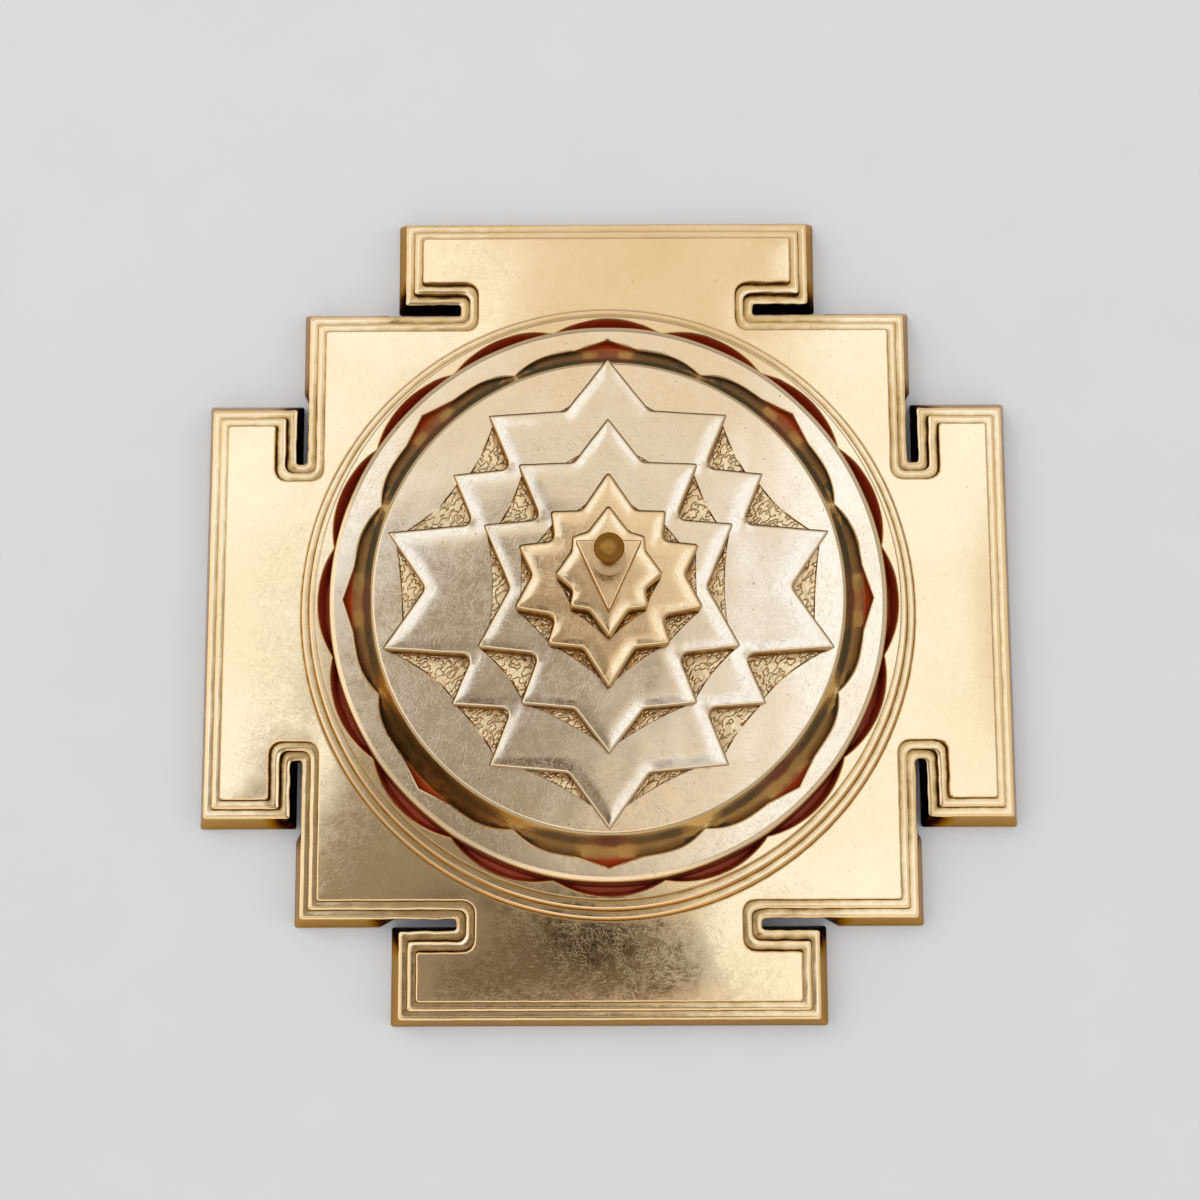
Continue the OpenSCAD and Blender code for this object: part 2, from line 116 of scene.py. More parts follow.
class RingSizes(bpy.types.PropertyGroup):
    """Sizes of the lotus ring."""

    top_radius: length("Top radius", "Outer radius at the top", 49.53)
    lean: ratio("Lean", "Lean of the outer wall", 0.16)
    bevel: length("Bevel", "Bevel of the outer rim", 0.7)
    petal: length("Petal", "Radius of a petal", 45.53)
    petal_cusp: length("Petal cusp", "Radius of the points between petals", 43.63)
    petal_tip: length("Petal tip", "Radius of a petal's pointed tip", 47.13)
    petal_end: length("Petal end", "Radius of the round ends of a petal", 12.0)
    tip_angle: FloatProperty(
        name="Tip angle",
        description="Half the angle that a tip takes up round the axis",
        default=math.radians(7.5),
        subtype="ANGLE",
    )
    petals: repeats("Petals", "Petals in the opening", 8)


class DrumSizes(bpy.types.PropertyGroup):
    """Sizes of the drum."""

    rim: length("Rim", "Radius of the upper rim", 41.0)
    lean: ratio("Lean", "Lean of the wall", 0.36)
    bevel: length("Bevel", "Bevel of the rim", 0.3)
    flare_height: length("Flare height", "Height of the flare below the ring's upper face", 3.4)
    flare_width: length("Flare width", "Width of the flare", 4.0)
    hem_lean: ratio("Hem lean", "Lean of the foot", 0.05)


class StarSizes(bpy.types.PropertyGroup):
    """Sizes of the star tiers."""

    radius_14: length("Fourteen points", "Drawing radius of the fourteen-point star", 40.4)
    radius_10_outer: length("Ten points, larger", "Drawing radius of the larger one", 38.7)
    radius_10_inner: length("Ten points, smaller", "Drawing radius of the smaller one", 38.0)
    radius_8: length("Eight points", "Drawing radius of the eight-point star", 40.1)
    tip_round: length("Point rounding", "Rounding of the points of the largest star", 0.22)
    notch_round: length("Notch rounding", "Rounding of the notches between the points", 1.2)
    filed: length("Filed edge", "Width of the filed edge of the largest star", 0.55)
    pit_depth: length("Pit depth", "Depth of the chiselled pits", 0.5)
    crown: length("Crown", "Fall of a face towards its edge", 0.12)
    grid: length("Grid", "Spacing of the points of a crowned face", 0.8)


class BinduSizes(bpy.types.PropertyGroup):
    """Sizes of the ball and its stem."""

    offset: length("Offset", "Distance of the stem from the axis", 2.6)
    ball: length("Ball", "Radius of the ball", 2.3)
    stem: length("Stem", "Radius of the stem", 1.2)
    foot: length("Foot", "Radius of the foot", 2.7)
    foot_height: length("Foot height", "Height of the foot", 1.1)


class BrassColours(bpy.types.PropertyGroup):
    """Colours of the metal."""

    plate: colour("Plate", "Polished faces of the plate", (0.83, 0.605, 0.34))
    turned: colour("Turned", "Polished faces of ring and drum, walls of the steps", (0.83, 0.645, 0.43))
    star: colour("Star", "Polished faces of the two larger stars", (0.79, 0.625, 0.43))
    # The small star colour is warmer and deeper than the star colour: partly tarnish, partly painted
    # reflection and shade from the tiers round them
    small_star: colour("Small star", "Faces of the smaller stars and triangle", (0.82, 0.58, 0.32))
    # The wall colours are darker and browner than the faces: painted shade on upright walls
    wall: colour("Wall", "Upright walls of the plate", (0.68, 0.47, 0.25))
    star_wall: colour("Star wall", "Upright walls of the stars", (0.62, 0.41, 0.17))
    drum_wall: colour("Drum wall", "Sloping walls of drum and ring", (0.74, 0.60, 0.36))
    # Amber and recess are partly patina and partly painted shade in grooves, corners, slots and under
    # edges
    amber: colour("Amber", "Warm tone beside grooves and corners", (0.50, 0.29, 0.09))
    recess: colour("Recess", "Dark tone in grooves and corners", (0.085, 0.045, 0.014))
    pit: colour("Pit", "Floor of the chiselled pits", (0.87, 0.65, 0.36))
    cut: colour("Cut", "Lines cut into the floor of the pits", (0.20, 0.11, 0.04))
    red: colour("Red", "Red tone deep in the crevices", (0.68, 0.115, 0.022))
    ball: colour("Ball", "Toned brass of the ball", (0.38, 0.185, 0.04))
    steel: colour("Steel", "Hidden fasteners", (0.56, 0.56, 0.55))


class YantraSettings(bpy.types.PropertyGroup):
    """All sizes and colours of the yantra."""

    plate: PointerProperty(type=PlateSizes)
    ring: PointerProperty(type=RingSizes)
    drum: PointerProperty(type=DrumSizes)
    star: PointerProperty(type=StarSizes)
    bindu: PointerProperty(type=BinduSizes)
    colours: PointerProperty(type=BrassColours)


def settings():
    return bpy.context.scene.yantra


def low(node):
    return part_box(node)[0].z


def top(node):
    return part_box(node)[1].z


# Flat outlines

def offset(corners, distance):
    """A closed outline, counter-clockwise, moved inwards by a distance."""
    moved = []
    for k, b in enumerate(corners):
        a = corners[k - 1]
        c = corners[(k + 1) % len(corners)]
        first = (b - a).normalized()
        second = (c - b).normalized()
        n1 = Vector((-first.y, first.x))
        n2 = Vector((-second.y, second.x))
        moved.append(b + (n1 + n2) * (distance / (1 + n1.dot(n2))))
    return moved


def spans_of(corners, step):
    """How many points each side gets between its rounded ends."""
    return [
        max(1, int((corners[(k + 1) % len(corners)] - b).length / step)) for k, b in enumerate(corners)
    ]


def arc_at(a, b, c, radius, steps):
    """Points of the rounding at corner b, from the side of a to the side of c."""
    if radius <= 0:
        return [b.copy()]
    u = (a - b).normalized()
    v = (c - b).normalized()
    half = u.angle(v) / 2
    reach = radius / math.tan(half)
    limit = 0.46 * min((a - b).length, (c - b).length)
    if reach > limit:
        radius *= limit / reach
        reach = limit
    start = b + u * reach
    centre = b + (u + v).normalized() * (radius / math.sin(half))
    arm = start - centre
    turn = (math.pi - 2 * half) * (1 if u.cross(v) < 0 else -1)
    points = []
    for j in range(steps + 1):
        t = turn * j / steps
        points.append(centre + Vector((
            arm.x * math.cos(t) - arm.y * math.sin(t), arm.x * math.sin(t) + arm.y * math.cos(t)
        )))
    return points


def rounded(corners, radii, spans, steps=4):
    """A closed outline with rounded corners and evenly divided sides."""
    count = len(corners)
    arcs = []
    for k, corner in enumerate(corners):
        after = corners[(k + 1) % count]
        arcs.append(arc_at(corners[k - 1], corner, after, radii[k], steps))
    points = []
    for k, arc in enumerate(arcs):
        points += arc
        begin = arc[-1]
        end = arcs[(k + 1) % count][0]
        points += [begin.lerp(end, j / spans[k]) for j in range(1, spans[k])]
    return points


def hand_cut(points, grain, layer, size):
    """Points moved a little by noise. The size of the moves is a function of x and y."""
    moved = []
    for x, y in points:
        shift = noise.noise_vector(Vector((x / MM * grain, y / MM * grain, layer)))
        moved.append(Vector((x + shift.x * size(x, y), y + shift.y * size(x, y))))
    return moved


def inside(point, outline):
    """Whether a flat point lies in a closed outline."""
    odd = False
    x, y = point[0], point[1]
    a = outline[-1]
    for b in outline:
        if (a[1] > y) != (b[1] > y) and x < (b[0] - a[0]) * (y - a[1]) / (b[1] - a[1]) + a[0]:
            odd = not odd
        a = b
    return odd


def to_edge(x, y, outline):
    """Distance from a flat point to a closed outline."""
    best = 1.0
    a = outline[-1]
    for b in outline:
        ex, ey = b[0] - a[0], b[1] - a[1]
        px, py = x - a[0], y - a[1]
        t = min(1.0, max(0.0, (px * ex + py * ey) / (ex * ex + ey * ey)))
        best = min(best, math.hypot(px - t * ex, py - t * ey))
        a = b
    return best


def crown(outline, z, width, drop):
    """Height of a face that falls off a little towards its outline, as hand polishing leaves it."""
    return lambda x, y: z - drop * max(0.0, 1 - to_edge(x, y, outline) / width) ** 2


def field(outline, holes, step, margin):
    """Points of a square grid in an outline, clear of it and of its holes."""
    xs = [p[0] for p in outline]
    ys = [p[1] for p in outline]
    points = []
    for ix in range(int(min(xs) / step), int(max(xs) / step) + 1):
        for iy in range(int(min(ys) / step), int(max(ys) / step) + 1):
            # every second row is shifted by half a step
            x, y = (ix + 0.5 * (iy % 2)) * step, iy * step
            if not inside((x, y), outline) or to_edge(x, y, outline) < margin:
                continue
            if any(inside((x, y), hole) or to_edge(x, y, hole) < margin for hole in holes):
                continue
            points.append((x, y))
    return points


# Mesh building

def place(name, data):
    """A new object in the scene."""
    made = bpy.data.objects.new(name, data)
    bpy.context.scene.collection.objects.link(made)
    return made


# The first tone darkens creases, slots, the feet of walls and edges turned from the light: partly
# patina, mostly painted shade
TONES = ("patina", "red", "pit", "wall")
SHARP = math.radians(32)


class Shape:
    """A mesh in the making, with the tones of its points."""

    def __init__(self):
        self.mesh = bmesh.new()
        layers = self.mesh.verts.layers.float
        self.patina, self.red, self.pit, self.wall = (layers.new(tone) for tone in TONES)

    def point(self, co, patina=0.0, red=0.0, pit=0.0):
        vert = self.mesh.verts.new(co)
        vert[self.patina] = patina
        vert[self.red] = red
        vert[self.pit] = pit
        return vert

    def loop(self, points, z, patina=0.0, red=0.0, pit=0.0):
        """A ring of points at height z. Height, the dark tone (patina with painted shade) and red are
        numbers, or functions of x and y.
        """
        made = []
        for p in points:
            height, tone, warm = (
                value(p[0], p[1]) if callable(value) else value for value in (z, patina, red)
            )
            made.append(self.point((p[0], p[1], height), tone, warm, pit))
        return made

    def mark_wall(self, loops, tone=1.0):
        """Gives rings the tone of a wall, or with -1 that of a turned face, whatever their slope."""
        for ring in loops:
            for vert in ring:
                vert[self.wall] = tone

    def skin(self, loops):
        """Faces between rings that have the same number of points, flat where both rings lie level."""
        for a, b in zip(loops, loops[1:]):
            smooth = abs(a[0].co.z - b[0].co.z) > 1e-6
            for k in range(len(a)):
                j = (k + 1) % len(a)
                self.mesh.faces.new((a[k], a[j], b[j], b[k])).smooth = smooth

    def cap(self, ring):
        """Closes a ring with a fan of faces round its middle."""
        middle = sum((v.co for v in ring), Vector()) / len(ring)
        hub = self.point(middle, ring[0][self.patina], ring[0][self.red])
        for k in range(len(ring)):
            self.mesh.faces.new((ring[k], ring[(k + 1) % len(ring)], hub))

    def sheet(self, rings, extra=(), smooth=False, crisp=True):
        """Faces between an outer ring and the rings that lie in it, with crisp or soft borders."""
        verts = [v for ring in rings for v in ring] + list(extra)
        edges = []
        start = 0
        for ring in rings:
            count = len(ring)
            edges += [(start + k, start + (k + 1) % count) for k in range(count)]
            start += count
        flat = [v.co.xy for v in verts]
        outlines = [[v.co.xy for v in ring] for ring in rings]
        found, _, faces, source, _, _ = delaunay_2d_cdt(flat, edges, [], 0, 1e-8)
        for face in faces:
            middle = sum((found[k] for k in face), Vector((0, 0))) / len(face)
            if sum(inside(middle, outline) for outline in outlines) % 2 == 1:
                corners = [verts[source[k][0]] for k in face]
                if self.mesh.faces.get(corners) is None:
                    self.mesh.faces.new(corners).smooth = smooth
        for ring in rings if crisp else ():
            for k, vert in enumerate(ring):
                edge = self.mesh.edges.get((ring[k - 1], vert))
                if edge:
                    edge.smooth = False

    def finish(self, name, material, node):
        """Turns the points into a piece that stands for its CAD node."""
        bmesh.ops.recalc_face_normals(self.mesh, faces=self.mesh.faces)
        data = bpy.data.meshes.new(name)
        self.mesh.to_mesh(data)
        smooth = [face.smooth for face in self.mesh.faces]
        crisp = [k for k, edge in enumerate(self.mesh.edges) if not edge.smooth]
        self.mesh.free()
        data.set_sharp_from_angle(angle=SHARP)
        data.polygons.foreach_set("use_smooth", smooth)
        for k in crisp:
            data.edges[k].use_edge_sharp = True
        data.materials.append(material)
        piece = place(name, data)
        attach(piece, BODY)
        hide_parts(node)


def circle(radius, count):
    return polar(lambda angle: radius, count)


def polar(radius_at, count):
    """Points round the axis, at a radius that depends on the angle."""
    points = []
    for k in range(count):
        angle = TURN * k / count
        r = radius_at(angle)
        points.append((r * math.cos(angle), r * math.sin(angle)))
    return points


def off_middle(angle, step):
    """Angle from the middle of the nearest lobe of a row, one of them at +Y."""
    return (angle - math.pi / 2 + step / 2) % step - step / 2


def lobe(angle, far, near, count):
    """Radius of a row of round lobes at an angle."""
    step = TURN / count
    local = off_middle(angle, step)
    centre = (far * far - near * near) / (2 * (far - near * math.cos(step / 2)))
    radius = far - centre
    return centre * math.cos(local) + math.sqrt(max(0.0, radius ** 2 - (centre * math.sin(local)) ** 2))


def petal_radius(angle):
    """Radius of the ring's opening: petals with round ends and a pointed tip."""
    s = settings().ring
    step = TURN / s.petals
    local = abs(off_middle(angle, step))
    hub = s.petal - s.petal_end
    cosine = (hub ** 2 + s.petal_cusp ** 2 - s.petal_end ** 2) / (2 * hub * s.petal_cusp)
    beyond = local - step / 2 + math.acos(cosine)
    r = s.petal
    if beyond > 0:
        r = hub * math.cos(beyond) + math.sqrt(s.petal_end ** 2 - (hub * math.sin(beyond)) ** 2)
    if local < s.tip_angle:
        a = Vector((s.petal_tip, 0))
        b = Vector((s.petal * math.cos(s.tip_angle), s.petal * math.sin(s.tip_angle)))
        d = b - a
        ray = Vector((math.cos(local), math.sin(local)))
        r = max(r, a.cross(d) / ray.cross(d))
    return r


def drum_radius(z):
    """Radius of the drum's wall at a height: a cone, a flare under the ring's face and a steep foot."""
    s = settings().drum
    neck_z = top("lotus_ring")
    hem_z = neck_z - s.flare_height
    if z >= neck_z:
        return s.rim + s.lean * (top("drum") - z)
    neck = s.rim + s.lean * (top("drum") - neck_z)
    if z >= hem_z:
        return neck + s.flare_width * (neck_z - z) / s.flare_height
    return neck + s.flare_width + s.hem_lean * (hem_z - z)


# Star drawings, in parts of a square of 48 from the top; points and notches by turns

HALF_PARTS = 24
HALF_14 = (
    (0, 0), (4.3, 5.5), (12.2, 6), (9.9, 11.5), (15.8, 12.1), (13.7, 17.2), (22.4, 18), (18.5, 23.7),
    (22.8, 29.9), (13.7, 30.5), (15.8, 35.5), (9.8, 35.9), (12, 41.6), (4.1, 42.3), (0, 48),
)
HALF_10_OUTER = (
    (0, 6.3), (3.6, 11), (9.4, 11.2), (7, 17), (13, 17.5), (10.2, 24.1),
    (13.6, 30.3), (7.2, 31), (9.1, 36.1), (3.6, 36.6), (0, 41.3),
)
HALF_10_INNER = (
    (0, 12.4), (2.8, 16.5), (6, 16.6), (5.6, 19.7), (9.4, 20.1), (7.9, 23.2),
    (9.8, 26.7), (5.5, 27.5), (6.4, 30.4), (2.7, 30.8), (0, 35),
)
HALF_8 = (
    (0, 16.9), (2, 19.5), (3.5, 20), (3.6, 21.4), (5.2, 23.6), (3.5, 25.1),
    (3.8, 26.8), (1.9, 27.1), (0, 29.8),
)

# One row for each notch: reach of the pit along both sides of the notch, and bow of its outer side

PITS_14 = (
    (0.35, 0.28, 0), (0.93, 0.82, 0.1), (0.93, 0.94, 0.2), (0.86, 0.62, 0.1),
    (0.95, 0.92, 0.2), (0.95, 0.84, 0.1), (0.58, 0.6, 0.25),
)
PITS_10_OUTER = (
    (0.42, 0.34, 0), (0.9, 0.8, 0.1), (0.92, 0.72, 0.4), (0.94, 0.92, 0.15), (0.82, 0.72, 0.25),
)
PITS_10_INNER = (
    (0.4, 0.4, 0), (0.72, 0.6, 0), (0.86, 0.72, 0.1), (0.93, 0.86, 0.1), (0.74, 0.72, 0.2),
)
PITS_8 = ((0.25, 0.25, 0), (0.6, 0.5, 0.2), (0.93, 0.72, 0.15), (0.92, 0.86, 0.2))
PIT_SIDE_POINTS = 6
PIT_BOW_POINTS = 10
PIT_GRID = 0.3 * MM


def half_star(half, radius, side=1):
    """Points of one half of a star."""
    part = radius / HALF_PARTS
    return [Vector((side * x * part, (HALF_PARTS - y) * part)) for x, y in half]


def star_corners(half, radius):
    """Both halves of a star, counter-clockwise."""
    return half_star(half, radius, -1) + half_star(half[-2:0:-1], radius)


def pit_outlines(half, shares, radius):
    """Outlines of the pits between the points of a star, each with the two sides of its notch."""
    p = half_star(half, radius)
    pits = []
    for i, (first, second, bend) in enumerate(shares):
        notch = p[2 * i + 1]
        a = notch.lerp(p[2 * i], first)
        c = notch.lerp(p[2 * i + 2], second)
        pull = ((a + c) / 2).lerp(notch, bend)
        ring = [a.lerp(notch, k / PIT_SIDE_POINTS) for k in range(PIT_SIDE_POINTS)]
        ring += [notch.lerp(c, k / PIT_SIDE_POINTS) for k in range(PIT_SIDE_POINTS)]
        ring.append(c)
        for k in range(1, PIT_BOW_POINTS):
            t = k / PIT_BOW_POINTS
            ring.append((1 - t) ** 2 * c + 2 * t * (1 - t) * pull + t * t * a)
        for side in (-1, 1):
            outline = [Vector((side * q.x, q.y)) for q in ring]
            area = sum(q.cross(outline[(k + 1) % len(outline)]) for k, q in enumerate(outline))
            sides = [Vector((side * q.x, q.y)) for q in (a, notch, c, notch)]
            pits.append((outline if area > 0 else outline[::-1], sides))
    return pits


def add_pit(shape, outline, sides, z, surface, rng):
    """Cuts a chiselled pit into a surface and returns the ring of its upper edge."""
    s = settings().star
    middle = sum(outline, Vector((0, 0))) / len(outline)
    notch = sides[1]
    depth = (middle - notch).length
    open_side = max(to_edge(q.x, q.y, sides) for q in outline)

    def dark(x, y):
        """Painted shade in the notch and along the star's wall."""
        shade = 0.3 * max(0.0, 1 - (Vector((x, y)) - notch).length / (0.8 * depth))
        return max(shade, 0.95 * max(0.0, 1 - to_edge(x, y, sides) / (0.3 * MM)))

    def floor_at(x, y):
        """Height of the floor, deepest beside the star's wall."""
        share = min(1.0, to_edge(x, y, sides) / open_side)
        return surface(x, y) - s.pit_depth * (0.7 - 0.45 * share)

    def lip_at(x, y):
        return surface(x, y) - 0.25 * (surface(x, y) - floor_at(x, y))

    def drawn_in(near, far):
        """The outline drawn towards its middle, less along the star's wall than on the open side."""
        moved = []
        for q in outline:
            away = min(1.0, to_edge(q.x, q.y, sides) / (1.2 * MM))
            moved.append(q.lerp(middle, near + (far - near) * away))
        return moved

    rim = shape.loop(outline, surface)
    inner = drawn_in(0.07, 0.2)
    lip = shape.loop(drawn_in(0.02, 0.08), lip_at, dark, 0.0, 0.4)
    foot = shape.loop(inner, floor_at, dark, 0.0, 1.0)
    shape.skin([rim, lip, foot])
    angle = rng.uniform(0, math.pi)
    axis = Vector((math.cos(angle), math.sin(angle)))
    core = [q.lerp(middle, 0.06) for q in inner]
    steps = int(max((q - middle).length for q in inner) / PIT_GRID) + 1
    seeds = []
    for ix in range(-steps, steps + 1):
        for iy in range(-steps, steps + 1):
            cell = Vector((ix + rng.uniform(-0.3, 0.3), iy + rng.uniform(-0.3, 0.3)))
            q = middle + cell * PIT_GRID
            if not inside(q, core):
                continue
            u = q.dot(axis) / MM
            v = q.cross(axis) / MM
            stroke = noise.noise(Vector((u * 1.6, v * 0.6, z * 900)))
            dot = noise.noise(Vector((u * 2.4, v * 2.4, 4.0 + z * 900)))
            height = floor_at(q.x, q.y) + (0.03 * stroke + 0.02 * dot) * MM
            seeds.append(shape.point((q.x, q.y, height), dark(q.x, q.y), 0.0, 1.0))
    shape.sheet([foot], seeds, True, False)
    return rim


def add_pits(shape, outlines, z, face=None):
    """Cuts pits below height z, or below a face, and returns the rings of their upper edges."""
    surface = face or (lambda x, y: z)
    rng = random.Random(round(z * 1e6))
    return [add_pit(shape, outline, sides, z, surface, rng) for outline, sides in outlines]


# Materials

class Nodes:
    """Adds nodes to a material or a world and joins them."""

    def __init__(self, owner, shader="Principled BSDF"):
        owner.use_nodes = True
        self.owner = owner
        self.tree = owner.node_tree
        self.shader = self.tree.nodes[shader]
        self.coords = self.add("ShaderNodeTexCoord").outputs

    def feed(self, node, inputs):
        """Gives inputs of a node the output of another one, a number, a vector or a colour."""
        for key, value in inputs.items():
            socket = node.inputs[key]
            if isinstance(value, bpy.types.NodeSocket):
                self.tree.links.new(value, socket)
            else:
                socket.default_value = (*value, 1.0) if socket.type == "RGBA" else value

    def add(self, kind, inputs=None, **values):
        node = self.tree.nodes.new(kind)
        for key, value in values.items():
            setattr(node, key, value)
        self.feed(node, inputs or {})
        return node

    def shade(self, inputs):
        """Feeds the shader and returns its material or world."""
        self.feed(self.shader, inputs)
        return self.owner

    def math(self, operation, a, b=0.0, clamp=False):
        return self.add("ShaderNodeMath", {0: a, 1: b}, operation=operation, use_clamp=clamp).outputs[0]

    def ramp(self, value, low_in, high_in, low_out=0.0, high_out=1.0):
        inputs = {
            "Value": value, "From Min": low_in, "From Max": high_in,
            "To Min": low_out, "To Max": high_out,
        }
        return self.add("ShaderNodeMapRange", inputs, interpolation_type="SMOOTHSTEP").outputs["Result"]

    def mix(self, factor, a, b):
        node = self.add("ShaderNodeMix", data_type="RGBA")
        sockets = [k for k, socket in enumerate(node.inputs) if socket.enabled]
        self.feed(node, dict(zip(sockets, (factor, a, b))))
        return [o for o in node.outputs if o.enabled][0]

    def facing_up(self):
        """How far a face looks up, 1 where it lies level."""
        normal = self.add("ShaderNodeNewGeometry").outputs["Normal"]
        return self.add("ShaderNodeSeparateXYZ", {0: normal}).outputs["Z"]

    def attribute(self, name):
        return self.add("ShaderNodeAttribute", attribute_name=name).outputs["Fac"]

    def noise(self, scale, detail=2.0, stretch=1.0, angle=0.0, rough=0.5, shift=0.0):
        """Noise whose grains are drawn out in one direction of the XY plane."""
        mapping = self.add("ShaderNodeMapping", {
            "Vector": self.coords["Object"], "Location": (shift, shift, shift),
            "Rotation": (0, 0, angle), "Scale": (stretch, 1, 1),
        }, vector_type="TEXTURE")
        return self.add("ShaderNodeTexNoise", {
            "Vector": mapping.outputs["Vector"], "Scale": scale, "Detail": detail, "Roughness": rough,
        }).outputs["Fac"]

    def strokes(self, angles):
        """Fine brush strokes, each direction in patches of its own."""
        total = None
        for number, angle in enumerate(angles):
            line = self.ramp(self.noise(6400, 2.0, 13.0, angle, 0.6), 0.60, 0.70)
            patch = self.ramp(self.noise(170, 2.0, shift=0.37 * (number + 1)), 0.40, 0.55)
            line = self.math("MULTIPLY", line, patch)
            total = line if total is None else self.math("MAXIMUM", total, line)
        return total

    def bump(self, height, distance, strength, normal=None):
        inputs = {"Height": height, "Distance": distance, "Strength": strength}
        if normal is not None:
            inputs["Normal"] = normal
        return self.add("ShaderNodeBump", inputs).outputs["Normal"]


STROKE_ANGLES = (0.2, 0.8, 1.3, 1.9, 2.4, 2.95)


def brass(name, face, wall, roughness=0.08, scratch=1.0, wave=0.06, dull=0.0):
    """Polished brass: bright faces, walls browner with painted shade, grooves and corners darkened by
    patina and painted shade, gouged pits, red crevices.
    """
    c = settings().colours
    n = Nodes(bpy.data.materials.new(name))
    patina, red, pit, marked = (n.attribute(tone) for tone in TONES)
    upright = n.math("ADD", n.ramp(n.facing_up(), 0.25, 0.85, 1.0, 0.0), marked, clamp=True)
    mottle = n.noise(420, 4.0)
    marks = n.strokes(STROKE_ANGLES)
    pores = n.ramp(n.noise(1500, 1.0), 0.765, 0.80)
    worm = n.math("ABSOLUTE", n.math("SUBTRACT", n.noise(1050, 1.0, 1.6, 0.8), 0.5))
    groove = n.math("MULTIPLY", n.ramp(worm, 0.0, 0.06, 1.0, 0.0), pit)
    # The dark tone of the points, mostly painted shade with some patina, joined by random pores, is
    # painted in amber and then in the recess colour
    grime_and_shade = n.math("MULTIPLY", patina, n.ramp(mottle, 0.2, 0.75, 0.75, 1.15), clamp=True)
    grime_and_shade = n.math("MAXIMUM", grime_and_shade, n.math("MULTIPLY", pores, 0.7 * scratch))
    faded = [x * y for x, y in zip(face, (0.95, 0.91, 0.84))]
    tone = n.mix(n.ramp(n.noise(38, 3.0), 0.35, 0.7), face, faded)
    for share, tint in (
        (n.math("MULTIPLY", marks, 0.16 * scratch), [0.45 * x for x in face]),
        # Upright walls take the wall colour, a painted shade
        (upright, wall),
        (n.math("MULTIPLY", marked, -1.0, clamp=True), c.turned),
        (pit, c.pit),
        (n.math("MULTIPLY", groove, 0.85), c.cut),
        (n.ramp(grime_and_shade, 0.0, 0.6), c.amber),
        (n.ramp(grime_and_shade, 0.4, 1.0), c.recess),
        (red, c.red),
    ):
        tone = n.mix(share, tone, tint)
    rough = roughness
    for share, weight in (
        (marks, 0.05 * scratch), (upright, 0.3 * dull), (grime_and_shade, 0.25), (red, 0.2), (pit, 0.14),
    ):
        rough = n.math("ADD", n.math("MULTIPLY", share, weight), rough)
    rough = n.math("ADD", rough, n.ramp(mottle, 0.3, 0.8, -0.03, 0.04), clamp=True)
    worn = n.math("SUBTRACT", 1.0, n.math("MULTIPLY", upright, dull))
    normal = n.bump(n.noise(55, 2.0), 0.0006, wave)
    normal = n.bump(marks, 0.00002, 0.14 * scratch, normal)
    normal = n.bump(n.ramp(worm, 0.0, 0.09), 0.0001, n.math("MULTIPLY", pit, 0.7), normal)
    return n.shade({
        "Base Color": tone,
        "Specular Tint": tone,
        "Metallic": n.math("MULTIPLY", n.ramp(red, 0.0, 1.0, 1.0, 0.25), worn),
        "Roughness": rough,
        "Normal": normal,
    })


def plug_brass(name):
    """Plain turned brass below, with the red tone of the crevices on its upper face."""
    c = settings().colours
    n = Nodes(bpy.data.materials.new(name))
    grain = n.noise(300, 3.0)
    tone = n.mix(n.ramp(grain, 0.3, 0.7), c.turned, [0.85 * x for x in c.turned])
    upper = n.ramp(n.facing_up(), 0.4, 0.7)
    return n.shade({
        "Base Color": n.mix(upper, tone, c.red),
        "Metallic": n.ramp(upper, 0.0, 1.0, 1.0, 0.25),
        "Roughness": n.ramp(grain, 0.2, 0.8, 0.24, 0.36),
    })


def steel(name):
    """Plain turned steel of the hidden fasteners."""
    n = Nodes(bpy.data.materials.new(name))
    grain = n.noise(600, 3.0)
    return n.shade({
        "Base Color": n.mix(n.ramp(grain, 0.3, 0.7), settings().colours.steel, (0.4, 0.4, 0.39)),
        "Metallic": 1.0,
        "Roughness": n.ramp(grain, 0.2, 0.8, 0.25, 0.42),
    })


# Pieces

def plate_corners(grow):
    """Corners of the plate, counter-clockwise, its outer walls moved out by grow."""
    s = settings().plate
    p, g, k = s.plate_half + grow, s.gate_half + grow, s.block_half + grow
    b, n, slot = s.bar_back, s.neck_half, s.block_half
    near = s.gate_half + 0.6 * MM
    far = s.gate_half + 4.5 * MM
    half = [(p, g), (b, g), (b, n), (slot, n), (slot, near), (k, far), (k, k)]
    quarter = half + [(y, x) for x, y in half[-2::-1]]
    corners = []
    for turn in range(4):
        corners += [Matrix.Rotation(turn * math.pi / 2, 2) @ Vector(q) for q in quarter]
    return corners


def plate_radii(inset):
    """Rounding of each corner of the plate, for an outline drawn in by inset."""
    s = settings().plate
    corner = s.corner_round
    slot = s.slot_round + 0.45 * inset
    half = [corner, corner, slot, slot, 0, 0, corner]
    return (half + half[-2::-1]) * 4


def near_slot(x, y):
    """1 in a slot, falling to 0 about a slot's length away."""
    s = settings().plate
    a, b = max(abs(x), abs(y)), min(abs(x), abs(y))
    da = abs(a - (s.block_half + s.bar_back) / 2)
    db = max(0.0, s.neck_half - b, b - s.gate_half)
    return max(0.0, 1 - math.hypot(da, db) / (7 * MM))


def chipped(x, y):
    """Unevenness of a plate edge, stronger round the slots."""
    return (0.06 + 0.16 * near_slot(x, y)) * MM


def shade_towards_slots(far, near):
    """Patina with painted shade that changes from one value away from the slots to far + near in them.
    """
    return lambda x, y: far + near * near_slot(x, y)


def shade_round_slots(amount):
    """Patina of at least an amount, with painted shade dark in and round the slots."""
    return lambda x, y: max(amount, min(1.0, 1.6 * near_slot(x, y)))


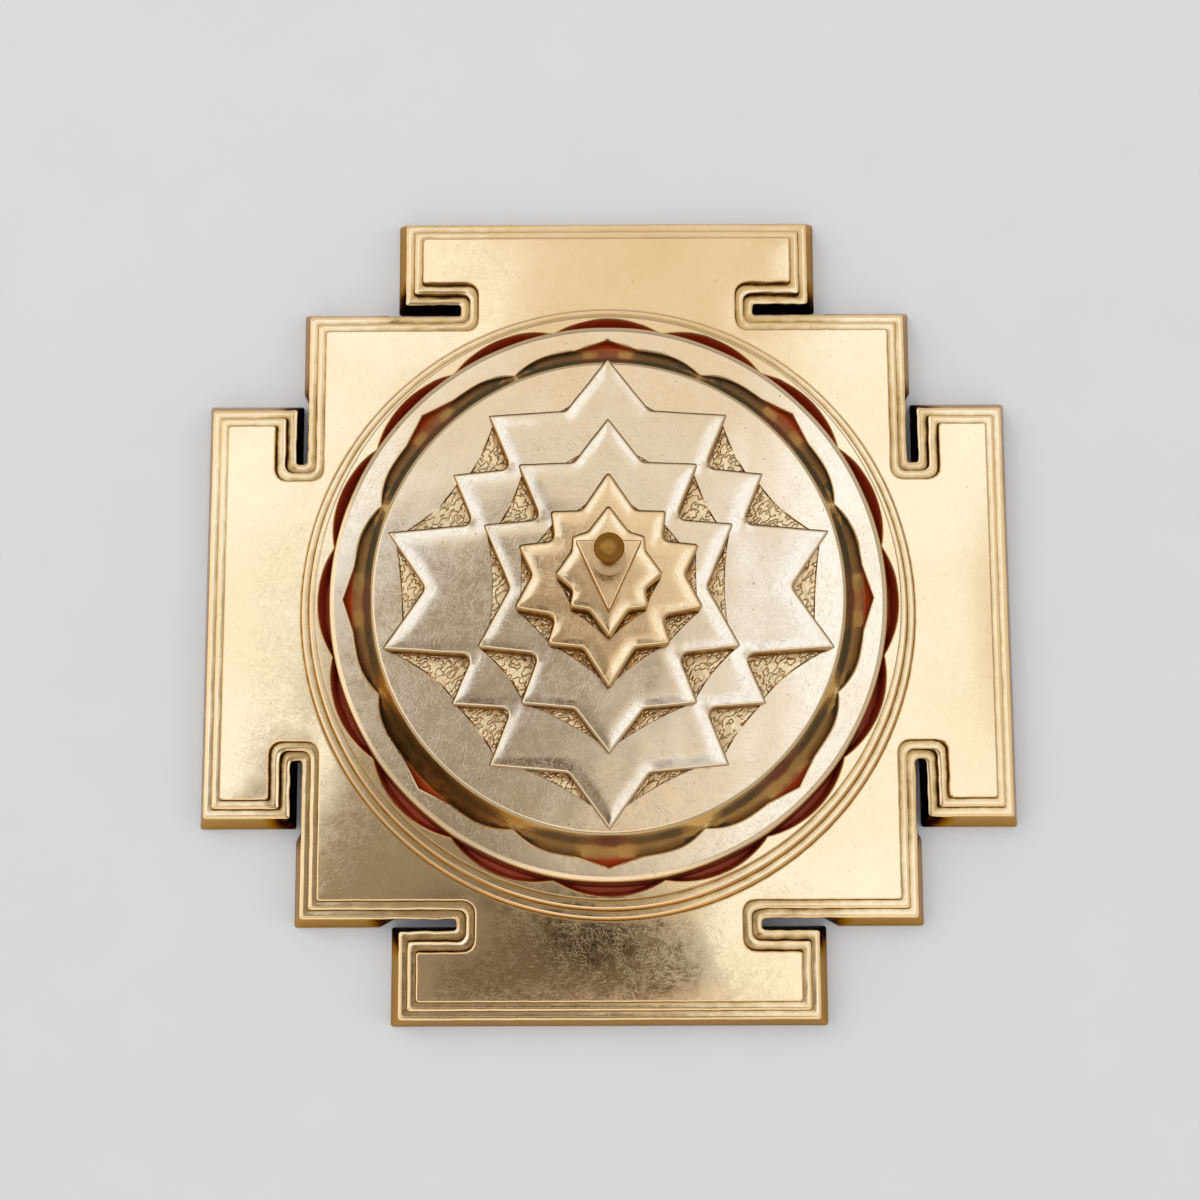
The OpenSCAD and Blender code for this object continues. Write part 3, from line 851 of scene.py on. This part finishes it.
def uneven(z, number):
    """Height of the middle of a terrace, slightly convex and hand cut."""

    def height(x, y):
        rough = noise.noise(Vector((x / MM * 0.8, y / MM * 0.8, number * 5.3)))
        return z + (0.07 + (0.05 + 0.14 * near_slot(x, y)) * rough) * MM

    return height


PLATE_EDGE = 0.32 * MM
TERRACE_EDGE = 0.42 * MM
STEP_LEAN = 0.24
INNER_STEP_LEAN = 0.12
PLUG_BORE = 52.51 * MM
PLUG_SEAT = 61.61 * MM
PLUG_SEAT_DEPTH = 4.0 * MM


def plate_edge(shape):
    """Rings of the plate's wall and terraces, from the rest face up to the upper face."""
    s = settings().plate
    outline = plate_corners(0.0)
    spread = plate_corners(s.foot)
    spans = spans_of(outline, 1.3 * MM)
    base = rounded(outline, plate_radii(0), spans)
    foot = rounded(spread, plate_radii(0), spans)

    def level(inset, z, number, patina):
        points = rounded(offset(outline, inset), plate_radii(inset), spans)
        return shape.loop(hand_cut(points, 0.55, number * 3.7, chipped), z, patina)

    # The loops at the rest face are darker: painted shade where the plate meets the floor
    loops = [
        shape.loop(rounded(offset(spread, PLATE_EDGE), plate_radii(0), spans), 0.0, 0.4),
        shape.loop(foot, PLATE_EDGE, shade_round_slots(0.25)),
    ]
    for t in (0.35, 0.7):
        between = [f.lerp(b, t) for f, b in zip(foot, base)]
        loops.append(shape.loop(between, s.slab * t, shade_round_slots(0.1)))
    z = s.slab - s.crown
    loops += [
        level(0.0, z - PLATE_EDGE, 0, shade_round_slots(0.0)),
        level(0.09 * MM, z - 0.09 * MM, 0, shade_towards_slots(0.0, 0.4)),
        level(PLATE_EDGE, z, 0, shade_towards_slots(0.0, 0.2)),
    ]
    for number in (1, 2):
        start = number * s.run
        # Darker tones at the inner corner of each terrace and the foot of its riser are painted shade
        # in the crease
        loops += [
            level(start - 0.85 * MM, uneven(z, number), number - 0.5, shade_towards_slots(0.1, 0.3)),
            level(start - 0.26 * MM, z - 0.04 * MM, number, shade_towards_slots(0.3, 0.5)),
            level(start, z - 0.02 * MM, number, 0.95),
        ]
        z += s.rise
        loops += [
            level(start + 0.12 * MM, z - 0.3 * MM, number, shade_towards_slots(0.55, 0.4)),
            level(start + 0.2 * MM, z - 0.09 * MM, number, 0.1),
            level(start + TERRACE_EDGE, z, number, 0.0),
        ]
    return loops


def plate_opening(shape, z, clear):
    """Rings of the circular steps, the scalloped recess and the bore, down to the rest face."""
    s = settings().plate
    count = s.scallops * 24
    rises = (s.step_rise, s.step_rise, top("base_plate") - z - 2 * s.step_rise)
    radii = (s.step_1, s.step_2, s.step_3)
    leans = (STEP_LEAN, STEP_LEAN, INNER_STEP_LEAN)

    def turned(radius, height, patina=0.0):
        return shape.loop(circle(radius, count), height, patina)

    def scallop(grow, height, *tones):
        points = polar(lambda a: lobe(a, s.scallop, s.scallop_cusp, s.scallops) + grow, count)
        return shape.loop(points, height, *tones)

    rings = [turned(clear, z)]
    for r, rise, lean in zip(radii, rises, leans):
        foot = r + lean * rise
        # The foot of each step is darker: painted shade in the crease
        rings += [
            turned(foot + 0.14 * MM, z, 0.5),
            turned(foot, z + 0.05 * MM, 1.0),
            turned(foot - lean * 0.4 * MM, z + 0.4 * MM),
            turned(r + lean * 0.3 * MM, z + rise - 0.3 * MM),
            turned(r - 0.06 * MM, z + rise - 0.09 * MM),
        ]
        shape.mark_wall(rings[-4:], -1.0)
        z += rise
        if r != s.step_3:
            rings.append(turned(r - 0.28 * MM, z))
    floor = low("lotus_ring")
    rings += [
        turned(s.step_3 - 0.22 * MM, z),
        scallop(0.24 * MM, z),
        # Deeper down, the scallop walls and the bore are darker: painted shade in the recess
        scallop(0.07 * MM, z - 0.07 * MM, 0.05, 0.1),
        scallop(0.0, z - 0.35 * MM, 0.1, 0.7),
        scallop(0.0, z - 1.5 * MM, 0.1, 1.0),
        scallop(0.0, floor, 0.4, 1.0),
        turned(PLUG_BORE, floor - 0.05 * MM, 0.8),
        turned(PLUG_BORE, PLUG_SEAT_DEPTH, 0.5),
        turned(PLUG_SEAT, PLUG_SEAT_DEPTH, 0.5),
        turned(PLUG_SEAT, 0.2 * MM, 0.4),
        turned(PLUG_SEAT + 0.2 * MM, 0.0, 0.2),
    ]
    return rings


def build_plate():
    s = settings().plate
    c = settings().colours
    shape = Shape()
    loops = plate_edge(shape)
    shape.skin(loops)
    z = s.slab + 2 * s.rise
    clear = s.step_1 + STEP_LEAN * s.step_rise + 0.5 * MM
    rings = plate_opening(shape, z, clear)
    shape.skin(rings)
    field_edge = offset(plate_corners(0.0), 2 * s.run + TERRACE_EDGE)
    face = crown(field_edge, z, s.crown_band, s.crown)
    grid = field(field_edge, [circle(clear, 96)], 2.2 * MM, 0.8 * MM)
    seeds = [shape.point((x, y, face(x, y))) for x, y in grid]
    shape.sheet([loops[-1], rings[0]], seeds, True)
    shape.sheet([loops[0], rings[-1]])
    metal = brass("plate_brass", c.plate, c.wall, scratch=0.55)
    shape.finish("base_plate_brass", metal, "base_plate")


def build_ring():
    s = settings().ring
    shape = Shape()
    count = 48 * s.petals
    z0, z1 = low("lotus_ring"), top("lotus_ring")

    def outer(z, *tones):
        return shape.loop(circle(s.top_radius + s.lean * (z1 - z), count), z, *tones)

    def rim(inset, z):
        return shape.loop(circle(s.top_radius - inset, count), z)

    def petals(z, grow=0.0):
        wall = drum_radius(z) + 0.1 * MM
        return polar(lambda a: max(petal_radius(a), wall) + grow, count)

    def opening(z, *tones):
        return shape.loop(petals(z), z, *tones)

    step = top("base_plate")
    # The outer wall and the opening darken towards the foot of the ring: painted shade in the crevices,
    # besides the red tone
    loops = [
        outer(z0, 0.4, 1.0),
        outer(step - 2.2 * MM, 0.3, 0.9),
        outer(step - 0.8 * MM, 0.2, 0.1),
        outer(step + 0.3 * MM, 0.15),
        outer(step + 1.5 * MM),
        outer(z1 - s.bevel),
        rim(0.12 * MM, z1 - 0.45 * s.bevel),
        rim(s.bevel, z1 - 0.08 * MM),
        rim(s.bevel + 0.15 * MM, z1),
        shape.loop(petals(z1, 0.30 * MM), z1),
        shape.loop(petals(z1, 0.08 * MM), z1 - 0.09 * MM),
        opening(z1 - 0.4 * MM, 0.3),
        opening(z1 - 0.8 * MM, 0.2),
        opening(z1 - 2.2 * MM, 0.2, 0.1),
        opening(z1 - 3.4 * MM, 0.3, 0.8),
        opening(z0, 0.4, 1.0),
    ]
    shape.skin(loops + [loops[0]])
    c = settings().colours
    metal = brass("ring_brass", c.turned, c.drum_wall, 0.10, wave=0.12, dull=0.1)
    shape.finish("lotus_ring_brass", metal, "lotus_ring")


def build_drum():
    s = settings().drum
    shape = Shape()
    count = 384
    z0, z1 = low("drum"), top("drum")
    ring_top = top("lotus_ring")

    def wall(z, *tones):
        return shape.loop(circle(drum_radius(z), count), z, *tones)

    def rim(inset, z):
        return shape.loop(circle(s.rim - inset, count), z)

    def shaded_side(x, y):
        """Painted shade on the wall, strongest on one side."""
        return 0.04 + 0.7 * max(0.0, (-0.75 * x - 0.66 * y) / math.hypot(x, y)) ** 8

    def at_tips(x, y):
        """1 under the tips of the ring's petals, 0 between them."""
        ring = settings().ring
        step = TURN / ring.petals
        local = abs(off_middle(math.atan2(y, x), step))
        return min(1.0, 2.5 * max(0.0, 1 - local / (1.2 * ring.tip_angle)))

    hem = ring_top - s.flare_height
    # The foot of the wall is darker: painted shade under the ring
    loops = [
        wall(z0, 0.4, at_tips),
        wall(hem - 0.2 * MM, 0.3, at_tips),
        wall(hem, 0.2, at_tips),
        wall(hem + 1.2 * MM, 0.2, at_tips),
        wall(hem + 1.6 * MM, shaded_side),
        wall(ring_top - 0.5 * MM, shaded_side),
        wall(ring_top + 0.8 * MM, shaded_side),
        wall(ring_top + 3.0 * MM, shaded_side),
        wall(z1 - 1.2 * MM, shaded_side),
        wall(z1 - s.bevel),
        rim(0.08 * MM, z1 - 0.4 * s.bevel),
        rim(s.bevel, z1 - 0.03 * MM),
        rim(s.bevel + 0.12 * MM, z1),
    ]
    shape.skin(loops)
    shape.mark_wall(loops[:10])
    shape.cap(loops[0])
    star = settings().star
    pits = add_pits(shape, pit_outlines(HALF_14, PITS_14, star.radius_14), z1)
    shape.sheet([loops[-1]] + pits)
    c = settings().colours
    metal = brass("drum_brass", c.turned, c.drum_wall, 0.11, wave=0.3, dull=0.1)
    shape.finish("drum_brass", metal, "drum")


def star_brass(small=False):
    """The brass of the larger stars, or that of the small stars and the triangle."""
    c = settings().colours
    name = "worn_and_shaded_brass" if small else "filed_brass"
    # The small stars' face colour carries painted reflection and shade besides tarnish
    face = c.small_star if small else c.star
    return bpy.data.materials.get(name) or brass(name, face, c.star_wall, 0.12, wave=0.45)


def build_tier(node, half, radius, edge, wear, band, upper=None, small=False):
    """A star tier with filed edges, rounded by wear, and the pits of the star above it."""
    s = settings().star
    shape = Shape()
    z0, z1 = low(node), top(node)
    corners = star_corners(half, radius)
    spans = spans_of(corners, 1.1 * MM)
    face = crown(offset(corners, edge), z1, band, s.crown)

    # Each level can paint shade on its edges that face towards -X and +Y, as if turned from the light
    def level(inset, z, patina, shade=0.0):
        tip = max(0.06 * MM, wear * s.tip_round - 0.5 * inset)
        notch = s.notch_round + inset
        radii = [(tip, notch)[k % 2] for k in range(len(corners))]
        points = rounded(offset(corners, inset), radii, spans, 6)
        moved = hand_cut(points, 0.35, z0 * 800, lambda x, y: 0.05 * MM)
        ring = shape.loop(moved, z, patina)
        for k, vert in enumerate(ring):
            along = (moved[(k + 1) % len(moved)] - moved[k - 1]).normalized()
            far = -0.5 * along.y - 0.87 * along.x
            vert[shape.patina] = max(vert[shape.patina], shade * min(1.0, max(0.0, 0.45 + far)))
        return ring

    # The lowest loops are dark: painted shade where the tier stands on the one below
    loops = [
        level(0.0, z0, 0.95),
        level(0.0, z0 + 0.5 * MM, 0.85),
        level(0.0, z0 + 1.6 * MM, 0.4),
        level(0.03 * MM, z1 - s.crown - 0.9 * edge, 0.2, 0.95),
        level(0.1 * edge, z1 - s.crown - 0.6 * edge, 0.1, 0.95),
        level(0.33 * edge, z1 - s.crown - 0.28 * edge, 0.0, 0.8),
        level(0.65 * edge, z1 - s.crown - 0.08 * edge, 0.0, 0.1),
        level(edge, face, 0.0),
    ]
    shape.skin(loops)
    shape.sheet([loops[0]])
    outlines = pit_outlines(*upper) if upper else []
    pits = add_pits(shape, outlines, z1, face)
    rim = [v.co.xy for v in loops[-1]]
    grid = field(rim, [outline for outline, _ in outlines], s.grid, 0.35 * s.grid)
    seeds = [shape.point((x, y, face(x, y))) for x, y in grid]
    shape.sheet([loops[-1]] + pits, seeds, True)
    shape.finish(node + "_brass", star_brass(small), node)


def build_stars():
    s = settings().star
    build_tier(
        "star_14", HALF_14, s.radius_14, s.filed, 1.0, 2.4 * MM,
        (HALF_10_OUTER, PITS_10_OUTER, s.radius_10_outer),
    )
    build_tier(
        "star_10_outer", HALF_10_OUTER, s.radius_10_outer, s.filed, 1.8, 2.2 * MM,
        (HALF_10_INNER, PITS_10_INNER, s.radius_10_inner),
    )
    build_tier(
        "star_10_inner", HALF_10_INNER, s.radius_10_inner, 1.15 * s.filed, 2.4, 1.6 * MM,
        (HALF_8, PITS_8, s.radius_8), small=True,
    )
    build_tier("star_8", HALF_8, s.radius_8, 1.1 * s.filed, 2.4, 1.2 * MM, small=True)


def build_triangle():
    s = settings().star
    lowest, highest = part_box("centre_triangle")
    shape = Shape()
    corners = [
        Vector((lowest.x, highest.y)), Vector((0, lowest.y)), Vector((highest.x, highest.y)),
    ]
    spans = spans_of(corners, 1.0 * MM)
    edge = 0.3 * MM

    def level(inset, z, patina):
        return shape.loop(rounded(offset(corners, inset), [s.tip_round] * 3, spans), z, patina)

    # The filed edge and the foot get a dark outline: painted shade
    loops = [
        level(0.0, lowest.z, 0.6),
        level(0.0, lowest.z + 0.4 * MM, 0.3),
        level(0.02 * MM, highest.z - edge, 0.5),
        level(0.3 * edge, highest.z - 0.3 * edge, 0.5),
        level(0.7 * edge, highest.z - 0.04 * edge, 0.1),
        level(edge, highest.z, 0.0),
    ]
    shape.skin(loops)
    shape.sheet([loops[0]])
    shape.sheet([loops[-1]])
    shape.finish("centre_triangle_brass", star_brass(True), "centre_triangle")


def build_bindu():
    s = settings().bindu
    shape = Shape()
    lowest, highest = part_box("bindu")
    seat = top("centre_triangle")
    ball_z = highest.z - s.ball
    count = 56
    shank = 1.25 * MM
    collar = seat + 0.22 * MM
    # Dark tones at the seat, up the stem under the ball and at the neck are painted shade
    profile = [
        (shank, lowest.z, 0.5),
        (shank, seat + 0.02 * MM, 0.5),
        (s.foot, seat + 0.02 * MM, 0.6),
        (s.foot, collar, 0.15),
    ]
    for k in range(1, 9):
        t = k / 8
        r = s.stem + (s.foot - s.stem) * (1 - t) ** 2.2
        profile.append((r, collar + t * (s.foot_height - 0.22 * MM), 0.1 + 0.7 * t * t))
    neck = math.asin(s.stem * 0.92 / s.ball)
    profile.append((s.stem * 0.96, ball_z - s.ball * math.cos(neck) - 0.35 * MM, 0.1))
    for k in range(22):
        angle = neck + (math.pi - neck) * k / 22
        patina = 0.0 if k else 0.5
        profile.append((s.ball * math.sin(angle), ball_z - s.ball * math.cos(angle), patina))
    loops = []
    for r, z, patina in profile:
        points = [(x, y + s.offset) for x, y in circle(r, count)]
        loops.append(shape.loop(points, z, patina))
    shape.mark_wall(loops[2:11], -0.45)
    shape.skin(loops)
    shape.cap(loops[0])
    shape.cap(loops[-1])
    c = settings().colours
    metal = brass("ball_brass", c.ball, c.ball, 0.42, scratch=0.3)
    shape.finish("bindu_brass", metal, "bindu")


UNDERSIDE = ("closing_plug",)
FASTENERS = (
    "tie_stud", "tie_washer", "tie_nut", "base_key", "ring_key", "drum_pins", "star_14_pins",
    "star_10_outer_pins", "star_10_inner_pins", "star_8_pins", "triangle_pins",
)


def build_underside():
    """Finishes the closing plug and the fasteners, whose solids are right as they are."""
    plug = plug_brass("plug_brass")
    metal = steel("hardware_steel")
    for names, material in ((UNDERSIDE, plug), (FASTENERS, metal)):
        for name in names:
            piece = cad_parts[name]
            piece.data.materials.clear()
            piece.data.materials.append(material)


# Stage

CAMERA_AT = (-1.0 * MM, -30.6 * MM, 290.9 * MM)
CAMERA_TURN = (math.radians(-6.537), math.radians(-0.122), math.radians(0.203))
LENS = 45.0


def add_camera():
    data = bpy.data.cameras.new("photo_camera")
    data.lens = LENS
    data.sensor_width = 36.0
    data.clip_start = 0.01
    data.clip_end = 20.0
    camera = place("photo_camera", data)
    rx, ry, rz = CAMERA_TURN
    view = Matrix.Rotation(rx, 3, "X") @ Matrix.Rotation(ry, 3, "Y") @ Matrix.Rotation(rz, 3, "Z")
    camera.matrix_world = Matrix.Translation(CAMERA_AT) @ view.transposed().to_4x4()
    bpy.context.scene.camera = camera


def add_light(name, at, target, size, power, tint):
    data = bpy.data.lights.new(name, "AREA")
    data.shape = "RECTANGLE"
    data.size, data.size_y = size
    data.energy = power
    data.color = tint
    lamp = place(name, data)
    lamp.location = at
    lamp.rotation_euler = (Vector(target) - Vector(at)).to_track_quat("-Z", "Y").to_euler()
    lamp.visible_glossy = False


# Bright and dark areas of the studio ceiling: degrees from the zenith towards +X and +Y, inner and
# outer half angle, and brightness

DAYLIGHT = (1.28, 1.52, 1.96)
CEILING = (
    (-20, 9, 11.5, 14, DAYLIGHT),
    (14, -6, 9.5, 11, DAYLIGHT),
    (16, 8, 8.5, 11.5, DAYLIGHT),
    (14, 17, 5, 8, DAYLIGHT),
    (21, 6, 4, 7, (0.98, 1.00, 1.05)),
    (-9, 20, 4, 6.5, DAYLIGHT),
    (-4.5, 4, 5, 7.5, (0.44, 0.42, 0.40)),
    (-8, -6, 5, 7.5, (0.36, 0.34, 0.32)),
    (-2.8, -7.8, 3.0, 4.6, (0.19, 0.16, 0.135)),
    (0.8, -7.8, 2.6, 3.8, (0.19, 0.16, 0.135)),
    (-0.5, -5.7, 1.5, 2.0, (0.03, 0.026, 0.022)),
    (0, -42, 12, 24, (1.15, 1.12, 1.08)),
    (-2, -24, 7, 11, (0.30, 0.28, 0.25)),
    (-50, 5, 16, 28, (1.25, 1.25, 1.25)),
)


def add_world():
    """A soft studio dome with bright panels overhead and a dark area where the viewer stands."""
    world = bpy.data.worlds.new("studio")
    bpy.context.scene.world = world
    n = Nodes(world, "Background")

    def towards(aim, inner, outer):
        """1 in a cone round a direction, falling to 0 at its outer half angle."""
        ray = {0: n.coords["Generated"], 1: Vector(aim).normalized()}
        dot = n.add("ShaderNodeVectorMath", ray, operation="DOT_PRODUCT").outputs["Value"]
        return n.ramp(dot, math.cos(math.radians(outer)), math.cos(math.radians(inner)))

    sky = n.mix(towards((0, 0, 1), 25, 85), (0.24, 0.24, 0.245), (0.98, 0.97, 0.95))
    for right, far, inner, outer, light in CEILING:
        aim = (math.tan(math.radians(right)), math.tan(math.radians(far)), 1)
        sky = n.mix(towards(aim, inner, outer), sky, light)
    seen = n.add("ShaderNodeLightPath").outputs["Is Camera Ray"]
    n.shade({"Color": n.mix(seen, sky, (0.72, 0.72, 0.715)), "Strength": 1.0})


def add_floor():
    shape = bmesh.new()
    bmesh.ops.create_circle(shape, cap_ends=True, segments=128, radius=8.0)
    data = bpy.data.meshes.new("studio_floor")
    shape.to_mesh(data)
    shape.free()
    floor = place("studio_floor", data)
    floor.location = (0, 0, -0.0002)
    n = Nodes(bpy.data.materials.new("pale_floor"))
    tone = n.mix(n.noise(60, 3.0), (0.66, 0.655, 0.645), (0.69, 0.685, 0.675))
    data.materials.append(n.shade({"Base Color": tone, "Roughness": 0.8}))


def build_stage():
    bpy.context.scene.view_settings.view_transform = "Standard"
    add_camera()
    add_world()
    add_floor()
    add_light("key_softbox", (-0.55, 0.45, 0.9), (0, 0, 0.02), (0.5, 0.5), 2.4, (1.0, 0.97, 0.92))
    add_light("side_softbox", (0.7, -0.1, 0.6), (0, 0, 0.02), (0.3, 0.6), 0.8, (1.0, 0.98, 0.95))


# Operators and panel

class YANTRA_OT_stage(bpy.types.Operator):
    """Sets up camera, lights and floor"""

    bl_idname = "yantra.stage"
    bl_label = "Stage"
    bl_options = {"REGISTER", "UNDO"}

    def execute(self, context):
        build_stage()
        return {"FINISHED"}


class YANTRA_OT_plate(bpy.types.Operator):
    """Builds the gate plate with its terraces and steps"""

    bl_idname = "yantra.plate"
    bl_label = "Gate plate"
    bl_options = {"REGISTER", "UNDO"}

    def execute(self, context):
        build_plate()
        return {"FINISHED"}


class YANTRA_OT_ring(bpy.types.Operator):
    """Builds the ring with the petal opening"""

    bl_idname = "yantra.ring"
    bl_label = "Lotus ring"
    bl_options = {"REGISTER", "UNDO"}

    def execute(self, context):
        build_ring()
        return {"FINISHED"}


class YANTRA_OT_drum(bpy.types.Operator):
    """Builds the drum and its chiselled pits"""

    bl_idname = "yantra.drum"
    bl_label = "Drum"
    bl_options = {"REGISTER", "UNDO"}

    def execute(self, context):
        build_drum()
        return {"FINISHED"}


class YANTRA_OT_stars(bpy.types.Operator):
    """Builds the four star tiers"""

    bl_idname = "yantra.stars"
    bl_label = "Star tiers"
    bl_options = {"REGISTER", "UNDO"}

    def execute(self, context):
        build_stars()
        return {"FINISHED"}


class YANTRA_OT_triangle(bpy.types.Operator):
    """Builds the centre triangle"""

    bl_idname = "yantra.triangle"
    bl_label = "Centre triangle"
    bl_options = {"REGISTER", "UNDO"}

    def execute(self, context):
        build_triangle()
        return {"FINISHED"}


class YANTRA_OT_bindu(bpy.types.Operator):
    """Builds the ball on its stem"""

    bl_idname = "yantra.bindu"
    bl_label = "Bindu"
    bl_options = {"REGISTER", "UNDO"}

    def execute(self, context):
        build_bindu()
        return {"FINISHED"}


class YANTRA_OT_underside(bpy.types.Operator):
    """Finishes the plug and the fasteners"""

    bl_idname = "yantra.underside"
    bl_label = "Underside"
    bl_options = {"REGISTER", "UNDO"}

    def execute(self, context):
        build_underside()
        return {"FINISHED"}


OPERATORS = (
    YANTRA_OT_stage,
    YANTRA_OT_plate,
    YANTRA_OT_ring,
    YANTRA_OT_drum,
    YANTRA_OT_stars,
    YANTRA_OT_triangle,
    YANTRA_OT_bindu,
    YANTRA_OT_underside,
)


class YANTRA_PT_sidebar(bpy.types.Panel):
    """Lists the pieces of the yantra."""

    bl_label = "Yantra"
    bl_idname = "YANTRA_PT_sidebar"
    bl_space_type = "VIEW_3D"
    bl_region_type = "UI"
    bl_category = "Yantra"

    def draw(self, context):
        for operator in OPERATORS:
            self.layout.operator(operator.bl_idname)


GROUPS = (PlateSizes, RingSizes, DrumSizes, StarSizes, BinduSizes, BrassColours, YantraSettings)
CLASSES = GROUPS + OPERATORS + (YANTRA_PT_sidebar,)


def register():
    # without a set seed the noise vectors differ from run to run
    noise.seed_set(NOISE_SEED)
    for cls in CLASSES:
        bpy.utils.register_class(cls)
    bpy.types.Scene.yantra = PointerProperty(type=YantraSettings)


def unregister():
    del bpy.types.Scene.yantra
    for cls in reversed(CLASSES):
        bpy.utils.unregister_class(cls)


def main():
    register()
    bpy.ops.yantra.stage()
    bpy.ops.yantra.plate()
    bpy.ops.yantra.ring()
    bpy.ops.yantra.drum()
    bpy.ops.yantra.stars()
    bpy.ops.yantra.triangle()
    bpy.ops.yantra.bindu()
    bpy.ops.yantra.underside()


if __name__ == "__main__":
    main()
